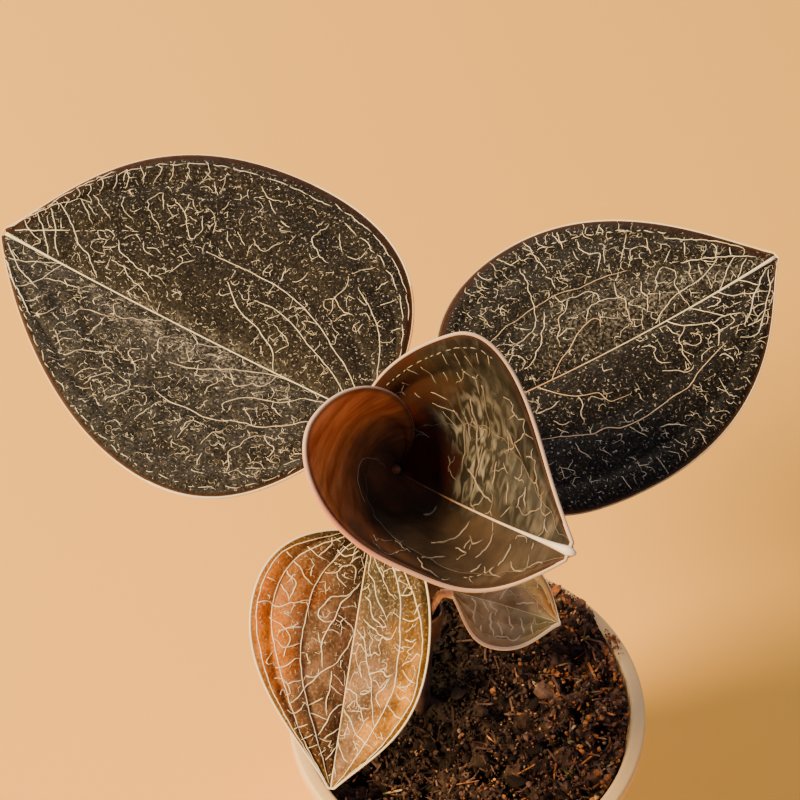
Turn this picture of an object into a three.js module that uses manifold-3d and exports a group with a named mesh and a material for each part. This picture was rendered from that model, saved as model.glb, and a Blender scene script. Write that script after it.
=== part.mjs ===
// Jewel orchid in a small round plastic nursery pot.
// Units are millimetres, +Z is up, and the origin is the centre of the pot's flat underside.
// Five leaves grow from one slim stem. Each leaf is one piece: blade, leaf stalk and the sheath
// that wraps the stem. The youngest leaf is still rolled into a funnel round the next bud.
import * as THREE from 'three';
import { mergeVertices } from 'three/addons/utils/BufferGeometryUtils.js';
import Module from 'manifold-3d';

const wasm = await Module();
wasm.setup();
const rad = THREE.MathUtils.degToRad;
const V = (x, y, z) => new THREE.Vector3(x, y, z);

// ---------------------------------------------------------------- sizes
const GAP = 0.3; // clearance between pieces that touch

const POT_HEIGHT = 55;
const POT_RIM_R = 30; // outer radius of the rolled rim
const POT_NECK_R = 28.7; // outer wall just under the rim
const POT_BASE_R = 21.5; // outer wall at the base
const POT_WALL = 1.1;
const POT_FLOOR = 1.8;
const RIM_BAND = 3.2; // height of the rolled rim
const DRAIN_HOLES = 6;
const DRAIN_RING_R = 13.5;
const DRAIN_HOLE_R = 2.6;
const POT_SEGMENTS = 56;

const SOIL_LEVEL = 50.6; // mean height of the potting mix
const SOIL_TILT = 0.1; // rise per mm towards the heaped side
const HEAP_AT = [19, 17]; // the mix is heaped against the rim here
const HEAP_RISE = 3.4;
const DIP_AT = [-18, -17]; // and has sunk from the wall here
const DIP_DEPTH = 3.4;
const CHIP_COUNT = 80;
const CHIP_SMALL = 0.9; // half length of the smallest and largest bark chips
const CHIP_LARGE = 2.3;

const STEM_R = 1.45;
const SHEATH_WALL = 0.7;
// the stem's centre line, from its buried end to just under the funnel leaf
const STEM_LINE = [
  V(-7.6, 2.6, 34), V(-7.5, 3.6, 51), V(-7.2, 5.0, 65), V(-7.4, 6.3, 77), V(-9.0, 8.2, 90), V(-11.2, 10.4, 100.5),
  V(-12.2, 11.4, 105.1),
];

const BLADE = 0.7; // leaf thickness between the ribs
const MIDRIB_KEEL = 0.8; // extra thickness of the midrib on the underside
const LATERAL_KEEL = 0.4; // extra thickness of the two long side veins
const QUILT = 0.45; // how far the blade swells between its ribs
const LATERALS = [0.45, 0.8]; // where the side veins run, as shares of the half width
const ACROSS = [0, 0.07, 0.25, 0.45, 0.63, 0.8, 0.91, 1]; // grid lines from midrib to margin
const ROWS = 15; // grid rows from leaf base to tip

// Half outlines: width, where it is widest, how far the base lobe reaches back, the lobe's
// fullness, the two handles beside the widest point, the handle at the tip and its angle.
const half = (width, widest, lobe, full, before, after, tipHandle, tipAngle) =>
  ({ width, widest, lobe, full, before, after, tipHandle, tipAngle: rad(tipAngle) });

// Open leaves. base: where blade meets stalk; yaw and pitch: heading of the midrib; rise: how the
// left and right halves lift; roll: how their margins roll down; stalk: its centre line.
const OPEN_LEAVES = [
  {
    name: 'leaf_large_left', colour: 0x2b211a, length: 69.4, base: V(-15.2, 18.0, 108.8),
    yaw: 151.1, pitch: 8, droop: 0.06, sag: 0.02, rise: [6, 22], roll: [0.15, 0.2], stalkR: 1.25,
    left: half(28.3, 0.33, -0.06, 0.67, 0.18, 0.26, 0.21, 50),
    right: half(33.0, 0.42, 0.01, 0.72, 0.23, 0.45, 0.13, 52),
    sheath: [93.6, 98.8], stalk: [V(-13.2, 14.2, 101.5), V(-14.3, 16.3, 105.5)],
  },
  {
    name: 'leaf_large_right', colour: 0x2a2019, length: 60, base: V(-3.3, 16.9, 109.2),
    yaw: 28.2, pitch: 8, droop: 0, sag: 0.035, rise: [16, -2], roll: [0.35, 0.35], stalkR: 1.2,
    left: half(26.4, 0.455, -0.04, 0.67, 0.2, 0.27, 0.175, 46),
    right: half(22.6, 0.36, 0.07, 0.87, 0.25, 0.44, 0.13, 38.5),
    sheath: [86.4, 92.5], stalk: [V(-5.6, 11.9, 94.6), V(-4.3, 14.4, 102)],
  },
  {
    name: 'leaf_coppery_front', colour: 0x8a5a2c, length: 39.5, base: V(-15.7, 4.8, 97.8),
    yaw: -100.3, pitch: -28, droop: 0.1, sag: 0, rise: [25, 25], roll: [0.2, 0.2], stalkR: 1.05,
    left: half(13.2, 0.47, 0.05, 0.72, 0.22, 0.29, 0.22, 45),
    right: half(17.1, 0.35, -0.01, 0.71, 0.2, 0.31, 0.17, 34.5),
    sheath: [80.4, 85.6], stalk: [V(-12.4, 6.2, 87), V(-15.2, 7.0, 94.5)],
  },
  {
    name: 'leaf_small_back', colour: 0x6f5f4a, length: 18.4, base: V(-3.2, 5.9, 80.5),
    yaw: -19.4, pitch: 4, droop: 0.15, sag: 0, rise: [8, 8], roll: [0.25, 0.25], stalkR: 0.8,
    left: half(10.0, 0.44, 0.03, 0.8, 0.24, 0.33, 0.09, 40),
    right: half(8.2, 0.5, -0.2, 0.46, 0.21, 0.335, 0.13, 41),
    sheath: [69.5, 75.2], stalk: [V(-5.3, 6.2, 77.6), V(-4.4, 6.1, 79.5)],
  },
];

// The youngest leaf: a spiral cone. Rays run from the throat at the stem's tip; `turn` is the angle
// from the midrib round the cone's axis, positive on the inner half, and cone(turn) is how far
// a ray leans from the axis.
const FUNNEL = {
  name: 'leaf_rolled_top', colour: 0x4a2c20, length: 39, throatR: 2.7, axisYaw: -68.4, axisPitch: 37.2,
  midribTurn: 327.9, flare: 0.21, thick: 0.75,
  left: half(29.7, 0.32, 0.19, 0.73, 0.24, 0.23, 0.4, 31),
  right: half(24.4, 0.54, 0.13, 0.85, 0.24, 0.23, 0.4, 31),
  sheath: [102.9, 105.1],
  cone: (turn) => 0.239 - 0.021 * turn + 0.193 * (1 - Math.cos(turn)) - 0.177 * Math.sin(turn)
    - 0.013 * (1 - Math.cos(2 * turn)) + 0.088 * Math.sin(2 * turn),
};
const STEM_STOP = 0.45; // the stem ends this far below the throat
const BUD_AXIS = V(0.129, -0.587, 0.799); // the middle of the funnel
const BUD_R = 0.8;
const BUD_LENGTH = 5.2;

// ---------------------------------------------------------------- solids
// a closed mesh becomes a solid once its doubled vertices are one
function solid(source) {
  let geo = source.clone();
  geo.deleteAttribute('normal');
  geo.deleteAttribute('uv');
  geo = mergeVertices(geo, 1e-4);
  const at = geo.getIndex().array;
  const faces = [];
  for (let i = 0; i < at.length; i += 3) {
    const [a, b, c] = [at[i], at[i + 1], at[i + 2]];
    if (a !== b && b !== c && c !== a) faces.push(a, b, c);
  }
  const mesh = new wasm.Mesh({
    numProp: 3,
    vertProperties: new Float32Array(geo.getAttribute('position').array),
    triVerts: new Uint32Array(faces),
  });
  return new wasm.Manifold(mesh);
}

function geometryOf(body) {
  const mesh = body.getMesh();
  const geo = new THREE.BufferGeometry();
  geo.setAttribute('position', new THREE.Float32BufferAttribute(mesh.vertProperties, 3));
  geo.setIndex(new THREE.Uint32BufferAttribute(mesh.triVerts, 1));
  geo.computeVertexNormals();
  return geo;
}

// the largest body of a join, without loose scraps
function mainBody(body) {
  return body.decompose().reduce((a, b) => (a.volume() > b.volume() ? a : b));
}

function part(name, geometry, colour, roughness) {
  const material = new THREE.MeshStandardMaterial({ color: colour, roughness, metalness: 0 });
  const mesh = new THREE.Mesh(geometry, material);
  mesh.name = name;
  return mesh;
}

function seeded(seed) {
  let state = seed;
  return () => {
    state = (state * 1664525 + 1013904223) % 4294967296;
    return state / 4294967296;
  };
}

// a round rod along a curve; swell(share) scales its radius along the way
function rod(points, radius, sides = 10, steps = 12, swell = null) {
  const circle = new THREE.Shape();
  for (let i = 0; i < sides; i++) {
    const a = (i / sides) * 2 * Math.PI;
    if (i === 0) circle.moveTo(radius, 0);
    else circle.lineTo(radius * Math.cos(a), radius * Math.sin(a));
  }
  circle.closePath();
  const extrudePath = new THREE.CatmullRomCurve3(points, false, 'centripetal');
  const geo = new THREE.ExtrudeGeometry(circle, { steps, extrudePath, curveSegments: 1, bevelEnabled: false });
  if (!swell) return geo;
  const middle = extrudePath.getSpacedPoints(steps);
  const at = geo.getAttribute('position');
  for (let i = 0; i < at.count; i++) {
    const p = V(at.getX(i), at.getY(i), at.getZ(i));
    const k = middle.reduce((best, m, j) => (m.distanceTo(p) < middle[best].distanceTo(p) ? j : best), 0);
    p.sub(middle[k]).multiplyScalar(swell(k / steps)).add(middle[k]);
    at.setXYZ(i, p.x, p.y, p.z);
  }
  return geo;
}

// ---------------------------------------------------------------- pot
const innerWall = (z) => POT_BASE_R - POT_WALL
  + ((z - POT_FLOOR) / (POT_HEIGHT - POT_FLOOR)) * (POT_NECK_R - POT_BASE_R);

function pot() {
  const rimUnder = POT_HEIGHT - RIM_BAND;
  const lip = innerWall(POT_HEIGHT);
  const profile = [
    [0, 0], [POT_BASE_R - 0.9, 0], [POT_BASE_R - 0.2, 0.3], [POT_BASE_R, 1],
    [POT_NECK_R - 0.3, rimUnder], [POT_RIM_R - 0.35, rimUnder + 0.1], [POT_RIM_R, rimUnder + 0.6],
    [POT_RIM_R, POT_HEIGHT - 0.7], [POT_RIM_R - 0.25, POT_HEIGHT - 0.2], [POT_RIM_R - 0.7, POT_HEIGHT],
    [lip + 0.45, POT_HEIGHT], [lip + 0.1, POT_HEIGHT - 0.2], [lip, POT_HEIGHT - 0.7],
    [innerWall(POT_FLOOR), POT_FLOOR + 0.6], [innerWall(POT_FLOOR) - 0.6, POT_FLOOR], [0, POT_FLOOR],
  ].map(([x, y]) => new THREE.Vector2(x, y));
  const turned = new THREE.LatheGeometry(profile, POT_SEGMENTS).rotateX(Math.PI / 2);
  let body = solid(turned);
  for (let i = 0; i < DRAIN_HOLES; i++) {
    const a = ((i + 0.5) / DRAIN_HOLES) * 2 * Math.PI;
    const drill = new THREE.CylinderGeometry(DRAIN_HOLE_R, DRAIN_HOLE_R, 6, 14).rotateX(Math.PI / 2);
    drill.translate(DRAIN_RING_R * Math.cos(a), DRAIN_RING_R * Math.sin(a), 1);
    body = body.subtract(solid(drill));
  }
  return body;
}

// ---------------------------------------------------------------- potting mix
const lump = (x, y, [cx, cy], reach) => Math.exp(-((x - cx) ** 2 + (y - cy) ** 2) / (2 * reach * reach));
const waves = (() => {
  const draw = seeded(11);
  return Array.from({ length: 14 }, (_, i) => {
    const turn = draw() * 2 * Math.PI;
    const pace = 0.35 + 0.09 * i;
    return { x: pace * Math.cos(turn), y: pace * Math.sin(turn), shift: draw() * 6.3, high: 0.34 - 0.012 * i };
  });
})();

function soilHeight(x, y) {
  const rise = SOIL_TILT * (x * Math.cos(rad(40)) + y * Math.sin(rad(40)));
  const rough = waves.reduce((sum, w) => sum + w.high * Math.sin(w.x * x + w.y * y + w.shift), 0);
  return SOIL_LEVEL + rise + HEAP_RISE * lump(x, y, HEAP_AT, 7) - DIP_DEPTH * lump(x, y, DIP_AT, 8) + rough;
}

function chip(draw, long, flat) {
  const box = new THREE.BoxGeometry(2 * long, (0.9 + 0.6 * draw()) * long, flat);
  const at = box.getAttribute('position');
  const pull = [0, 1, 2, 3, 4, 5, 6, 7].map(() => 0.7 + 0.45 * draw());
  for (let i = 0; i < at.count; i++) {
    const corner = (at.getX(i) > 0 ? 1 : 0) + (at.getY(i) > 0 ? 2 : 0) + (at.getZ(i) > 0 ? 4 : 0);
    const k = pull[corner];
    at.setXYZ(i, at.getX(i) * k, at.getY(i) * k, at.getZ(i) * (0.75 + 0.25 * k));
  }
  return box;
}

function soil() {
  const floor = POT_FLOOR + GAP;
  const edge = (z) => innerWall(Math.min(z, POT_HEIGHT)) - GAP - 0.05;
  const rings = 10;
  const top = 1000; // marks the profile points that become the uneven surface
  const profile = [new THREE.Vector2(0, floor), new THREE.Vector2(edge(floor) - 0.7, floor),
    new THREE.Vector2(edge(floor + 1.2), floor + 1.2), new THREE.Vector2(edge(24), 24)];
  for (let i = rings; i > 0; i--) profile.push(new THREE.Vector2(i / rings, top));
  profile.push(new THREE.Vector2(0, top));
  const turned = new THREE.LatheGeometry(profile, 42).rotateX(Math.PI / 2);
  const at = turned.getAttribute('position');
  for (let i = 0; i < at.count; i++) {
    if (at.getZ(i) < top / 2) continue;
    const share = Math.hypot(at.getX(i), at.getY(i));
    const turn = Math.atan2(at.getY(i), at.getX(i));
    const near = 27 * share;
    const wall = edge(soilHeight(27 * Math.cos(turn), 27 * Math.sin(turn)));
    const x = Math.cos(turn) * wall * share;
    const y = Math.sin(turn) * wall * share;
    at.setXYZ(i, x, y, soilHeight(Math.cos(turn) * near, Math.sin(turn) * near));
  }
  let body = solid(turned);
  const draw = seeded(7);
  const stemFoot = STEM_LINE[1];
  for (let n = 0; n < CHIP_COUNT; n++) {
    const reach = 26.5 * Math.sqrt(draw());
    const turn = draw() * 2 * Math.PI;
    const long = CHIP_SMALL + (CHIP_LARGE - CHIP_SMALL) * draw() ** 2;
    const [x, y] = [reach * Math.cos(turn), reach * Math.sin(turn)];
    const z = soilHeight(x, y) + 0.15 * long;
    const bark = chip(draw, long, 0.9 * long);
    bark.rotateX(draw() * 1.2 - 0.6).rotateY(draw() * 1.2 - 0.6).rotateZ(draw() * 6.3).translate(x, y, z);
    if (reach + 1.5 * long > edge(z - long)) continue;
    if (Math.hypot(x - stemFoot.x, y - stemFoot.y) < 1.6 * long + STEM_R) continue;
    body = body.add(solid(bark));
  }
  // crumbs that have spilled onto the rim from the heap
  for (let n = 0; n < 7; n++) {
    const turn = rad(24 + 6 * n);
    const reach = 26.4 + 1.9 * draw();
    const crumb = chip(draw, 1.3 + 0.4 * draw(), 1).rotateZ(turn);
    crumb.translate(reach * Math.cos(turn), reach * Math.sin(turn), POT_HEIGHT + GAP + 0.65);
    body = body.add(solid(crumb));
  }
  const hole = rod([V(0, 0, -0.4).add(STEM_LINE[0]), STEM_LINE[1], STEM_LINE[2]], STEM_R + GAP, 12, 10);
  return mainBody(body.subtract(solid(hole)));
}

// ---------------------------------------------------------------- stem
const stemCurve = new THREE.CatmullRomCurve3(STEM_LINE, false, 'centripetal');
const stemPoints = stemCurve.getSpacedPoints(240);
const throat = STEM_LINE[STEM_LINE.length - 1];

// the points of the stem's centre line between two heights
function stemBetween(low, high) {
  const inside = stemPoints.filter((p) => p.z >= low && p.z <= high);
  const count = Math.max(3, Math.round((high - low) / 3));
  return Array.from({ length: count }, (_, i) => inside[Math.round((i / (count - 1)) * (inside.length - 1))]);
}

function stem() {
  // slightly thicker at each joint where a leaf's sheath springs
  const joints = (share) => 1 - 0.06 * Math.sin(share * 12 * Math.PI) ** 2;
  return solid(rod(stemBetween(34, throat.z - STEM_STOP), STEM_R, 10, 24, joints));
}

function sheathed(body, [low, high]) {
  // it clasps the stem closely at its foot and stands a little open at its mouth
  const mouth = (share) => 0.88 + 0.2 * share ** 2;
  const wrap = solid(rod(stemBetween(low, high), STEM_R + GAP + SHEATH_WALL, 12, 6, mouth));
  const bore = solid(rod(stemBetween(low - 6, Math.min(high + 6, throat.z)), STEM_R + GAP, 12, 8));
  return mainBody(body.add(wrap).subtract(bore));
}

// ---------------------------------------------------------------- leaves
const bezier = (a, b, c, d, t) => {
  const s = 1 - t;
  return s * s * s * a + 3 * s * s * t * b + 3 * s * t * t * c + t * t * t * d;
};

// the margin of one half at t = 0 (base) to 1 (tip): x along the midrib, y out from it
function margin(length, h, t) {
  const wide = h.widest * length;
  if (t < 0.5) {
    const u = 2 * t;
    return [bezier(0, -h.lobe * length, wide - h.before * length, wide, u),
      bezier(0, h.full * h.width, h.width, h.width, u)];
  }
  const u = 2 * t - 1;
  const handle = h.tipHandle * length;
  return [bezier(wide, wide + h.after * length, length - handle * Math.cos(h.tipAngle), length, u),
    bezier(h.width, h.width, handle * Math.sin(h.tipAngle), 0, u)];
}

// a point of the flat leaf: q = -1 right margin, 0 midrib, 1 left margin; t = 0 base, 1 tip
function flatPoint(leaf, q, t) {
  const [mx, my] = margin(leaf.length, q >= 0 ? leaf.left : leaf.right, t);
  const cx = leaf.length * t ** 1.15;
  return [cx + (mx - cx) * Math.abs(q), my * Math.abs(q)];
}

// ribs stand proud underneath, and the blade swells between them on top
function relief(q) {
  const stops = [0, ...LATERALS, 1];
  const a = Math.abs(q);
  const i = Math.max(0, stops.findIndex((s) => s > a) - 1);
  const last = a >= 1 ? 0 : Math.sin((Math.PI * (a - stops[i])) / (stops[i + 1] - stops[i]));
  return QUILT * last;
}

function thickness(q, t) {
  const a = Math.abs(q);
  const keel = a < 0.04 ? MIDRIB_KEEL * (1 - 0.6 * t) : 0;
  const lateral = LATERALS.some((s) => Math.abs(a - s) < 0.01) ? LATERAL_KEEL * (1 - t) : 0;
  return BLADE + keel + lateral;
}

// a closed blade over a grid of q and t; surface(q, t) is its upper face, facing(point) points up
// out of that face, and both faces share one pattern of triangles
function bladeSolid(surface, facing, columns, rows, first, last) {
  const sheet = new THREE.PlaneGeometry(1, 1, columns.length - 1, rows);
  const count = sheet.getAttribute('position').count;
  const upper = [];
  const lower = [];
  for (let r = 0; r <= rows; r++) {
    const t = first + (last - first) * (r / rows);
    for (const q of columns) {
      const p = surface(q, t);
      const e = 0.01;
      const along = surface(q, Math.min(t + e, 1)).sub(surface(q, t - e));
      const across = surface(Math.min(q + e, 1), t).sub(surface(Math.max(q - e, -1), t));
      const out = new THREE.Vector3().crossVectors(along, across).normalize();
      if (out.dot(facing(p)) < 0) out.negate();
      upper.push(p.clone().addScaledVector(out, relief(q) * Math.min(1, 4 * (1 - t))));
      lower.push(p.clone().addScaledVector(out, -thickness(q, t)));
    }
  }
  const flat = Array.from(sheet.getIndex().array);
  const faces = [];
  for (let i = 0; i < flat.length; i += 3) {
    faces.push(flat[i], flat[i + 1], flat[i + 2]);
    faces.push(count + flat[i], count + flat[i + 2], count + flat[i + 1]);
  }
  // the rim: walk round the edge of the grid
  const wide = columns.length;
  const edge = [];
  for (let c = 0; c < wide - 1; c++) edge.push(c);
  for (let r = 0; r < rows; r++) edge.push(r * wide + wide - 1);
  for (let c = wide - 1; c > 0; c--) edge.push(rows * wide + c);
  for (let r = rows; r > 0; r--) edge.push(r * wide);
  edge.forEach((a, i) => {
    const b = edge[(i + 1) % edge.length];
    faces.push(a, b, count + a, b, count + b, count + a);
  });
  const geo = new THREE.BufferGeometry();
  const at = [...upper, ...lower].flatMap((p) => [p.x, p.y, p.z]);
  geo.setAttribute('position', new THREE.Float32BufferAttribute(at, 3));
  geo.setIndex(faces);
  let body = solid(geo);
  if (body.volume() < 0) {
    for (let i = 0; i < faces.length; i += 3) [faces[i], faces[i + 1]] = [faces[i + 1], faces[i]];
    geo.setIndex(faces);
    body = solid(geo);
  }
  return body;
}

// where a point of the flat leaf comes to lie on an open leaf
function openSurface(leaf) {
  const [yaw, pitch] = [rad(leaf.yaw), rad(leaf.pitch)];
  const ahead = V(Math.cos(yaw) * Math.cos(pitch), Math.sin(yaw) * Math.cos(pitch), Math.sin(pitch));
  const aside = V(-Math.sin(yaw), Math.cos(yaw), 0);
  const above = new THREE.Vector3().crossVectors(ahead, aside);
  const reach = 0.42 * leaf.length;
  const surface = (q, t) => {
    const [x, y] = flatPoint(leaf, q, t);
    const k = q >= 0 ? 0 : 1;
    const rise = rad(leaf.rise[k]);
    const s = x / leaf.length;
    const z = -leaf.droop * leaf.length * s * s / 2 + leaf.sag * leaf.length * 4 * s * (s - 1)
      + y * Math.sin(rise) - (leaf.roll[k] * y * y) / (2 * reach);
    return leaf.base.clone().addScaledVector(ahead, x)
      .addScaledVector(aside, (q >= 0 ? 1 : -1) * y * Math.cos(rise)).addScaledVector(above, z);
  };
  return { surface, above };
}

function openLeaf(leaf) {
  const { surface, above } = openSurface(leaf);
  const columns = [...ACROSS.slice(1).map((q) => -q).reverse(), ...ACROSS];
  const rows = leaf.length > 30 ? ROWS : 9;
  const blade = bladeSolid(surface, () => above, columns, rows, 0.04, 0.985);
  const root = stemPoints.find((p) => p.z >= (leaf.sheath[0] + leaf.sheath[1]) / 2);
  const under = (t) => surface(0, t).addScaledVector(above, -0.75);
  const line = [root, ...leaf.stalk, under(0.03), under(0.16)];
  const stalk = solid(rod(line, leaf.stalkR, 7, 11, (share) => 1.15 - 0.35 * Math.sin(Math.PI * share)));
  return sheathed(blade.add(stalk), leaf.sheath);
}

// the rolled leaf: the flat angle about the leaf base, summed along the cone, gives the turn
function funnelSurface(leaf) {
  const [yaw, pitch] = [rad(leaf.axisYaw), rad(leaf.axisPitch)];
  const axis = V(Math.cos(yaw) * Math.cos(pitch), Math.sin(yaw) * Math.cos(pitch), Math.sin(pitch));
  const level = V(-Math.sin(yaw), Math.cos(yaw), 0);
  const steep = new THREE.Vector3().crossVectors(axis, level);
  const unrolled = [1, -1].map((side) => {
    const sums = [0];
    for (let d = 1; d <= 360; d++) {
      const turn = side * rad(d);
      const slope = (leaf.cone(turn + 0.01) - leaf.cone(turn - 0.01)) / 0.02;
      sums.push(sums[d - 1] + rad(1) * Math.hypot(Math.sin(leaf.cone(turn)), slope));
    }
    return sums;
  });
  const turnAt = (side, angle) => {
    const sums = unrolled[side > 0 ? 0 : 1];
    const d = Math.min(Math.max(1, sums.findIndex((s) => s > angle)), 360);
    return side * rad(d - 1 + (angle - sums[d - 1]) / (sums[d] - sums[d - 1]));
  };
  return (q, t) => {
    const [x, y] = flatPoint(leaf, q, t);
    const r = Math.hypot(x, y);
    const turn = turnAt(q >= 0 ? 1 : -1, Math.atan2(y, x));
    const lean = leaf.cone(turn) + leaf.flare * (r / leaf.length) ** 2;
    const round = rad(leaf.midribTurn) - turn;
    return throat.clone().addScaledVector(axis, r * Math.cos(lean))
      .addScaledVector(level, r * Math.sin(lean) * Math.cos(round))
      .addScaledVector(steep, r * Math.sin(lean) * Math.sin(round));
  };
}

function funnelLeaf(leaf) {
  const surface = funnelSurface(leaf);
  const middle = (p) => {
    const along = Math.max(0, p.clone().sub(throat).dot(BUD_AXIS));
    return throat.clone().addScaledVector(BUD_AXIS, along).sub(p);
  };
  const inner = bladeSolid(surface, middle, ACROSS, 20, 0.05, 0.985);
  const outer = bladeSolid(surface, middle, ACROSS.map((q) => -q).reverse(), 20, 0.05, 0.985);
  const knob = solid(new THREE.SphereGeometry(leaf.throatR, 16, 10).translate(throat.x, throat.y, throat.z));
  const pocket = solid(rod([-1, 4.4].map((d) => throat.clone().addScaledVector(BUD_AXIS, d)), BUD_R + GAP + 0.05, 12, 2));
  return sheathed(inner.add(outer).add(knob), leaf.sheath).subtract(pocket);
}

// ---------------------------------------------------------------- bud
function bud() {
  const profile = [[0, 0], [0.72, 0.05], [1, 0.35], [0.85, 0.6], [0.45, 0.85], [0, 1]]
    .map(([x, y]) => new THREE.Vector2(x * BUD_R, y * BUD_LENGTH));
  const turned = new THREE.LatheGeometry(profile, 12);
  turned.applyQuaternion(new THREE.Quaternion().setFromUnitVectors(V(0, 1, 0), BUD_AXIS.clone().normalize()));
  return solid(turned.translate(throat.x, throat.y, throat.z));
}

// ---------------------------------------------------------------- the plant in its pot
const group = new THREE.Group();
group.add(
  part('pot', geometryOf(pot()), 0xe9e2d6, 0.45),
  part('potting_mix', geometryOf(soil()), 0x2a1b14, 0.95),
  part('stem', geometryOf(stem()), 0x9a6a58, 0.5),
  ...OPEN_LEAVES.map((leaf) => part(leaf.name, geometryOf(openLeaf(leaf)), leaf.colour, 0.45)),
  part(FUNNEL.name, geometryOf(funnelLeaf(FUNNEL)), FUNNEL.colour, 0.4),
  part('bud', geometryOf(bud()), 0xd9a3a0, 0.45),
);

export default group;
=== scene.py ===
from math import cos, pi, radians, sin, tan

import bpy
import numpy as np
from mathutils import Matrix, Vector, noise
from mathutils.geometry import delaunay_2d_cdt


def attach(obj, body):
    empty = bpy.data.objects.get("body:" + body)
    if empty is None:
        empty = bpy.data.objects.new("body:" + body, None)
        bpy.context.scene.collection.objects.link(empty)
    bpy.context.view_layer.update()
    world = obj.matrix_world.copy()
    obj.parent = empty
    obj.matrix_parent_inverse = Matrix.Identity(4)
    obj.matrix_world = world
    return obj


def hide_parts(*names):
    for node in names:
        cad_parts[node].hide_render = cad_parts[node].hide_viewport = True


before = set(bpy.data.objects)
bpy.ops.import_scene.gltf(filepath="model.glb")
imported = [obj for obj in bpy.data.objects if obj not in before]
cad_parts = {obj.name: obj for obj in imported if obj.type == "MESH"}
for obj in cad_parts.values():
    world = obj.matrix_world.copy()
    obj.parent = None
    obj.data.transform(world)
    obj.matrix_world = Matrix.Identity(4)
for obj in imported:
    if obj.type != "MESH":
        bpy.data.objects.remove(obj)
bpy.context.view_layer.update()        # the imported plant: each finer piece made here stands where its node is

# ---------------------------------------------------------------- nursery pot
# The pot is one thin cup of cream-white polypropylene, injection moulded in one shot: a tapered
# wall, a band that stiffens the rim, and a floor with six drain holes. Sizes are in millimetres.
MM = 0.001
POT_HEIGHT, POT_WALL, POT_FLOOR, RIM_BAND = 55.0, 1.1, 1.8, 3.2
POT_RIM_R, POT_NECK_R, POT_BASE_R = 30.0, 28.7, 21.5     # over the rim, just under it, at the foot
DRAIN_HOLES, DRAIN_RING_R, DRAIN_HOLE_R = 6, 13.5, 2.6
POT_SEGMENTS = 160


def inner_wall(z):
    """The radius of the pot's inner wall at height z."""
    return POT_BASE_R - POT_WALL + (z - POT_FLOOR) / (POT_HEIGHT - POT_FLOOR) * (POT_NECK_R - POT_BASE_R)


def linear(code):
    """An sRGB hex colour as linear RGBA."""
    parts = [int(code[i:i + 2], 16) / 255 for i in (1, 3, 5)]
    return [p / 12.92 if p <= 0.04045 else ((p + 0.055) / 1.055) ** 2.4 for p in parts] + [1.0]


def blank_material(name):
    """A blank material, and the function that adds its nodes."""
    material = bpy.data.materials.new(name)
    material.use_nodes = True
    nodes, links = material.node_tree.nodes, material.node_tree.links
    nodes.clear()
    usual = {"Math": {"operation": "MULTIPLY"}, "Mix": {"data_type": "RGBA"},
             "UVMap": {"uv_map": "UVMap"}, "TexVoronoi": {"feature": "SMOOTH_F1"}}

    def add(kind, *feeds, out=None, **given):
        """Adds a node and gives one of its outputs. Feeds are its inputs in order. Given are more
        inputs, by names with capitals, and its own settings. A hex string is a colour."""
        node = nodes.new("ShaderNode" + kind)
        for key, value in {**usual.get(kind, {}), **given}.items():
            if key.islower():
                setattr(node, key, value)
        fed = list(zip([socket for socket in node.inputs if socket.enabled], feeds))
        fed += [(node.inputs[key.replace("_", " ")], given[key]) for key in given if not key.islower()]
        for socket, value in fed:
            if isinstance(value, bpy.types.NodeSocket):
                links.new(value, socket)
            else:
                socket.default_value = linear(value) if isinstance(value, str) else value
        return node.outputs[out] if out else next((socket for socket in node.outputs if socket.enabled), None)

    return material, add


def only(*pieces):
    """Selects these pieces and nothing else. The last one becomes active."""
    bpy.ops.object.select_all(action="DESELECT")
    for piece in pieces:
        piece.select_set(True)
        bpy.context.view_layer.objects.active = piece


def face_out(piece, merge=0.0):
    """Merges doubles, where asked, and turns all the faces of a piece outwards."""
    only(piece)
    bpy.ops.object.mode_set(mode="EDIT")
    bpy.ops.mesh.select_all(action="SELECT")
    if merge:
        bpy.ops.mesh.remove_doubles(threshold=merge)
    bpy.ops.mesh.normals_make_consistent(inside=False)
    bpy.ops.object.mode_set(mode="OBJECT")


def pick(piece, wanted):
    """Selects, in edit mode, the edges of the piece whose two ends both pass the test."""
    bpy.ops.object.mode_set(mode="OBJECT")
    mesh = piece.data
    for item in [*mesh.vertices, *mesh.edges, *mesh.polygons]:
        item.select = False
    inside = [wanted(v.co / MM) for v in mesh.vertices]
    for edge in mesh.edges:
        edge.select = inside[edge.vertices[0]] and inside[edge.vertices[1]]
    bpy.ops.object.mode_set(mode="EDIT")
    bpy.ops.mesh.select_mode(type="EDGE")


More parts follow.
